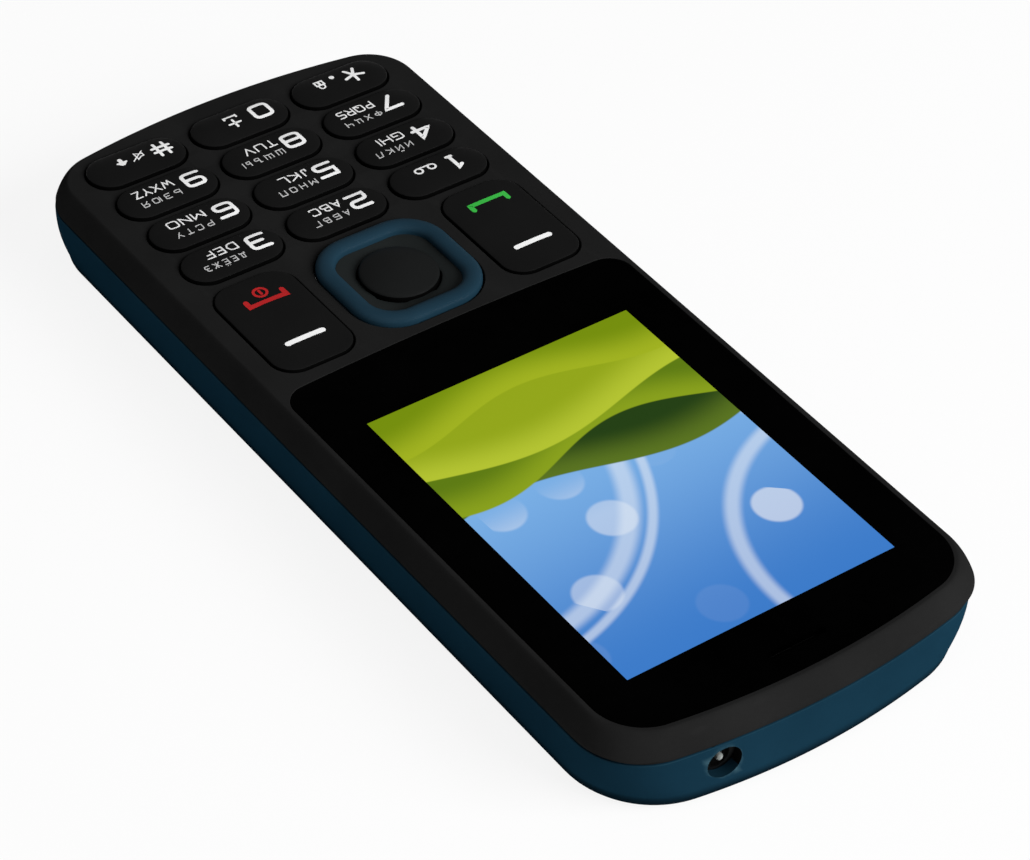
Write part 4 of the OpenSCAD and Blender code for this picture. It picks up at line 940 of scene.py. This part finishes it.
def drawStroke(mesh, path, closed, width, crown, materialIndex):  # flat ribbon that follows the key's top
    points = finePath(path, closed)
    half = width / 2
    sections = []
    for i, point in enumerate(points):
        before = points[i - 1] if closed or i > 0 else point
        after = points[(i + 1) % len(points)] if closed or i < len(points) - 1 else point
        run = after - before
        run = run.normalized() if run.length > tiny else Vector((1, 0))
        turn = 1.0
        if (point - before).length > tiny and (after - point).length > tiny:
            turn = max((point - before).normalized().dot(run), strokes["sharpest"])
        sections.append((point, run, half / turn))
    if not closed:  # half-round ends
        angles = strokes["endAngles"]
        (first, out, _), (last, on, _) = sections[0], sections[-1]
        head = [(first - out * half * math.sin(t), out, half * math.cos(t)) for t in angles]
        tail = [(last + on * half * math.sin(t), on, half * math.cos(t)) for t in reversed(angles)]
        sections = head + sections + tail
    rings = []
    for point, run, reach in sections:
        side = Vector((-run.y, run.x)) * reach
        left, right = point + side, point - side
        ring = []
        for end, lift in ((left, strokes["lift"]), (right, strokes["lift"]),
                          (right, -strokes["sink"]), (left, -strokes["sink"])):
            ring.append(Vector((end.x, end.y, faceZ + crown(end.x, end.y) + lift)))
        rings.append(ring)
    known = set(mesh.faces)
    loft(mesh, rings + [rings[0]] if closed else rings, not closed, not closed)
    for face in set(mesh.faces) - known:
        face.material_index = materialIndex


def drawSign(mesh, sign, left, base, width, height, stroke, materialIndex=0):
    for points in readGlyph(sign):
        path, closed = roundedPath(points)
        scaled = [Vector((left + p.x * width / 4, base + p.y * height / 6)) for p in path]
        drawStroke(mesh, scaled, closed, stroke, barCrown, materialIndex)


def drawIcon(mesh, lines, spot, crown, materialIndex=0):
    for width, closed, points in lines:
        path = [Vector((spot[0] + x, spot[1] + y)) for x, y in points]
        drawStroke(mesh, path, closed, width, crown, materialIndex)


def arcPoints(x, y, radius, start, end, count=24):
    return [(x + radius * math.cos(t), y + radius * math.sin(t))
            for t in spread(math.radians(start), math.radians(end), count)]


# Legends, in millimetres from the middle of each key; a line's width, whether it closes, and its points
voicemail = [(0.26, True, arcPoints(x, 0.1, 0.5, 0, 345)) for x in (-0.95, 0.95)]
voicemail.append((0.26, False, [(-0.95, -0.4), (0.95, -0.4)]))
fullStop = [(0.72, False, [(0, 0), (0.001, 0)])]
padlock = [
    (0.24, True, [(-0.55, -0.75), (-0.55, 0.1), (0.55, 0.1), (0.55, -0.75)]),
    (0.36, False, [(0, -0.5), (0, -0.15)]),
    (0.2, False, [(-0.38, 0.15), *arcPoints(0, 0.5, 0.38, 180, 0, 10), (0.38, 0.15)]),
]
plusSpace = [
    (0.3, False, [(-0.8, 0.4), (0.8, 0.4)]),
    (0.3, False, [(0, -0.35), (0, 1.15)]),
    (0.28, False, [(-0.85, -0.75), (-0.85, -1.1), (0.85, -1.1), (0.85, -0.75)]),
]
muted = [
    (0.16, True, [(-0.75, -0.28), (-0.75, 0.28), (-0.35, 0.28), (0.2, 0.68), (0.2, -0.68), (-0.35, -0.28)]),
    (0.16, False, [(-0.95, -0.7), (0.9, 0.7)]),
]
arrow = [(0.26, False, [(-half, 0.62 - half), (half, 0.62 - half)]) for half in (0.155, 0.31, 0.465, 0.62)]
arrow.append((0.55, False, [(0, 0), (0, -0.6)]))
functionSpot = (-0.3, 0.0)
softKeyBar = [(0.72, False, [(-2.4, 4.2), (2.4, 4.2)])]
answerCall = [(0.66, False, [(-2.5, -4.45), (-2.5, -5.4), (2.5, -5.4), (2.5, -4.45)])]
endCall = [
    (0.66, False, [(-2.5, -4.75), (-2.5, -3.75), (2.5, -3.75), (2.5, -4.75)]),
    (0.34, True, arcPoints(0, -5.55, 0.82, 0, 345)),
    (0.34, False, [(0, -5.9), (0, -5.2)]),
]
keyIcons = {
    "key_1": ((voicemail, (1.25, -1.15)),),
    "key_star": ((fullStop, (0.35, -1.35)), (padlock, (2.4, -0.75))),
    "key_0": ((plusSpace, (0.75, -0.2)),),
    "key_hash": ((muted, (-0.55, -0.62)), (arrow, (1.75, -0.5))),
}
keySigns = "123456789*0#"
keyWords = {
    "2": ("АБВГ", "ABC"), "3": ("ДЕЁЖЗ", "DEF"), "4": ("ИЙКЛ", "GHI"), "5": ("МНОП", "JKL"),
    "6": ("РСТУ", "MNO"), "7": ("ФХЦЧ", "PQRS"), "8": ("ШЩЪЫ", "TUV"), "9": ("ЬЭЮЯ", "WXYZ"),
}
digits = {
    "width": 2.35, "height": 2.5, "low": -1.58, "stroke": 0.5, "signStroke": 0.41,
    "left": (-3.97, -4.5, -5.02),
    "ownWidth": {"1": 1.25, "*": 2.6}, "ownShift": {"1": 0.8, "*": 0.4},
}
# Two rows of letters; a word longer than fits takes the tight pair of gap and letter width
upperRow = {
    "low": 0.5, "height": 0.88, "stroke": 0.14, "paint": 1, "fits": 4, "roomy": (0.68, 0.74),
    "tight": (0.54, 0.62),
}
lowerRow = {
    "low": -1.9, "height": 1.35, "stroke": 0.2, "paint": 0, "fits": 3, "roomy": (0.5, 1.04),
    "tight": (0.42, 0.87),
}
letterLeft, letterShift = (-0.35, -1.22, -1.28), {"7": 0.4}
letterWide = {
    "I": 0.01, "J": 0.7, "K": 1.1, "L": 0.9, "M": 1.4, "N": 1.15, "O": 1.25, "D": 1.2, "G": 1.2, "H": 1.15,
    "Q": 1.25, "U": 1.1, "V": 1.1, "W": 1.5, "X": 1.1, "E": 0.95, "F": 0.95, "Д": 1.1, "Ж": 1.35,
    "М": 1.15, "Ф": 1.15, "Ш": 1.3, "Щ": 1.35, "Ъ": 1.1, "Ы": 1.3, "Ю": 1.35,
}


def drawWord(mesh, word, left, row):
    gap, width = row["tight"] if len(word) > row["fits"] else row["roomy"]
    for sign in word:
        wide = width * letterWide.get(sign, 1.0)
        drawSign(mesh, sign, left, row["low"], wide, row["height"], row["stroke"], row["paint"])
        left += wide + gap


def buildKeyLegends():
    part = digits
    for i, (name, digit) in enumerate(zip(keyNames, keySigns)):
        mesh = bmesh.new()
        left = part["left"][i % 3] + part["ownShift"].get(digit, 0.0)
        stroke = part["signStroke"] if digit in "*#" else part["stroke"]
        wide = part["ownWidth"].get(digit, part["width"])
        drawSign(mesh, digit, left, part["low"], wide, part["height"], stroke)
        start = letterLeft[i % 3] - letterShift.get(digit, 0.0)
        for word, row in zip(keyWords.get(digit, ()), (upperRow, lowerRow)):
            drawWord(mesh, word, start, row)
        for icon, spot in keyIcons.get(name, ()):
            drawIcon(mesh, icon, spot, barCrown)
        carryTo(mesh, name)
        place(toObject(f"legend_{name}", mesh, [paintWhite, paintGrey], sharpAngle=60), name)


def buildFunctionLegends():
    for side, icon, paint in (("left", answerCall, paintGreen), ("right", endCall, paintRed)):
        mesh = bmesh.new()
        drawIcon(mesh, softKeyBar, functionSpot, functionCrown)
        drawIcon(mesh, icon, functionSpot, functionCrown, 1)
        carryTo(mesh, f"{side}_function_key")
        piece = toObject(f"legend_{side}_function", mesh, [paintWhite, paint], sharpAngle=60)
        place(piece, f"{side}_function")


buildKeyLegends()
buildFunctionLegends()
print("legends made")

# Torch lamp: a small grey dome in a black sleeve
torchLamp = {
    "radius": 1.5, "foot": 1.6, "footDepth": 0.8, "bowl": 1.3, "bowlDepth": 0.6, "dome": 0.46, "tip": 0.5,
    "reach": 0.85, "bevel": 0.05, "lip": 0.03, "point": 0.01,
}


def buildTorch():
    part = torchLamp
    low, high = boxOf("torch_led")
    spot = middleOf("torch_led")
    radius, bowl, dome, bevel, lip = (part[key] for key in ("radius", "bowl", "dome", "bevel", "lip"))
    front, shoulder = high.y + part["reach"], low.y + part["footDepth"]
    rim = front - part["tip"]
    section = [
        (low.y, part["point"]), (low.y, part["foot"]), (shoulder, part["foot"]), (shoulder, radius),
        (rim - bevel, radius), (rim, radius - bevel), (rim, bowl + lip), (rim - lip, bowl),
    ]
    for t in spread(0.15, math.pi / 2, 8):
        section.append((rim - part["bowlDepth"] * math.sin(t), dome + (bowl - dome) * math.cos(t)))
    section.append((front - dome, dome))
    for t in spread(0.1, math.pi / 2, 12):
        section.append((front - dome + dome * math.sin(t), max(dome * math.cos(t), part["point"])))
    rings = [[Vector((spot.x + x, y, spot.z + z)) for x, z in circle(size, 48)] for y, size in section]
    mesh = solidFrom(rings)
    for face in mesh.faces:
        middle = face.calc_center_median()
        away = math.hypot(middle.x - spot.x, middle.z - spot.z)
        if middle.y > rim - part["bowlDepth"] and away < dome + 0.01:  # the dome and its wall
            face.material_index = 1
    piece = toObject("torch_lamp", mesh, [finishes["sleeve"], finishes["lamp"]], sharpAngle=40)
    place(piece, "phone", ["torch_led"])


buildTorch()
print("torch made")


def dressFrame():  # finish for every solid that shows as it is
    slots = {entry["node"]: entry["material_slot"] for entry in frame["record"]["subparts"]}
    for name, node in frame["nodes"].items():
        if node.hide_render or slots[name] not in finishes:
            continue
        node.data.materials.clear()
        node.data.materials.append(finishes[slots[name]])


dressFrame()
print("frame dressed")

# Pale studio: floor, soft light from the top end, camera at the photograph's angle
studio = {
    "floorSize": 8.0, "floorDrop": 0.05, "floorTone": tone(235), "floorFill": 0.88,
    "worldTone": tone(255), "worldStrength": 0.08,
    "softboxes": (
        ("end_softbox", (-0.56, 0.96, 0.65), (0.9, 0.6), 26),
        ("side_softbox", (0.9, 0.1, 0.12), (0.5, 0.2), 1.2),
        ("top_softbox", (0.1, 0.25, 1.2), (0.8, 0.8), 3),
    ),
    "cameraPlace": (189.16, 254.69, 279.59), "cameraAim": (5.0, 11.7, 11.8), "cameraRoll": 2.31,
    "lens": 125.4,
}


def buildFloor():
    mesh = bmesh.new()
    bmesh.ops.create_grid(mesh, x_segments=4, y_segments=4, size=studio["floorSize"] / 2)
    data = bpy.data.meshes.new("studio_floor")
    mesh.to_mesh(data)
    mesh.free()
    floor = bpy.data.objects.new("studio_floor", data)
    floor.location.z = -studio["floorDrop"] * mm  # clear of the phone's flat back
    scene.collection.objects.link(floor)
    material, tree, shader = startMaterial("floorPaper")
    setInputs(shader, {"Base Color": studio["floorTone"], "Roughness": 0.9, "Specular IOR Level": 0.0})
    path = addNode(tree, "ShaderNodeLightPath").outputs
    seen = reckon(tree, "MAXIMUM", path["Is Camera Ray"], path["Is Glossy Ray"])
    seen = reckon(tree, "MAXIMUM", seen, path["Is Transmission Ray"])
    share = reckon(tree, "MULTIPLY", seen, studio["floorFill"])
    white = addNode(tree, "ShaderNodeEmission", [("Color", (1, 1, 1, 1)), ("Strength", 1.0)])
    mix = addNode(tree, "ShaderNodeMixShader", [(0, share), (1, shader.outputs[0]), (2, white.outputs[0])])
    tree.links.new(mix.outputs[0], tree.nodes["Material Output"].inputs["Surface"])
    data.materials.append(material)


def buildLights():
    world = bpy.data.worlds.new("studio")
    scene.world = world
    world.use_nodes = True
    setInputs(world.node_tree.nodes["Background"],
              {"Color": studio["worldTone"], "Strength": studio["worldStrength"]})
    for name, spot, size, power in studio["softboxes"]:
        light = bpy.data.lights.new(name, "AREA")
        light.shape = "RECTANGLE"
        light.size, light.size_y = size
        light.energy = power
        lamp = bpy.data.objects.new(name, light)
        lamp.location = spot
        lamp.rotation_euler = (-Vector(spot)).to_track_quat("-Z", "Y").to_euler()  # at the origin
        lamp.visible_glossy = False  # a matt light, without its own mirror image in the window
        scene.collection.objects.link(lamp)


def buildCamera():
    data = bpy.data.cameras.new("photo_camera")
    data.lens = studio["lens"]
    data.sensor_width = 36.0
    data.sensor_fit = "HORIZONTAL"
    camera = bpy.data.objects.new("photo_camera", data)
    eye, aim = Vector(studio["cameraPlace"]) * mm, Vector(studio["cameraAim"]) * mm
    look = (aim - eye).to_track_quat("-Z", "Y").to_matrix().to_4x4()
    roll = Matrix.Rotation(math.radians(studio["cameraRoll"]), 4, "Z")
    camera.matrix_world = Matrix.Translation(eye) @ look @ roll
    scene.collection.objects.link(camera)
    scene.camera = camera


buildFloor()
buildLights()
buildCamera()
print("studio made")
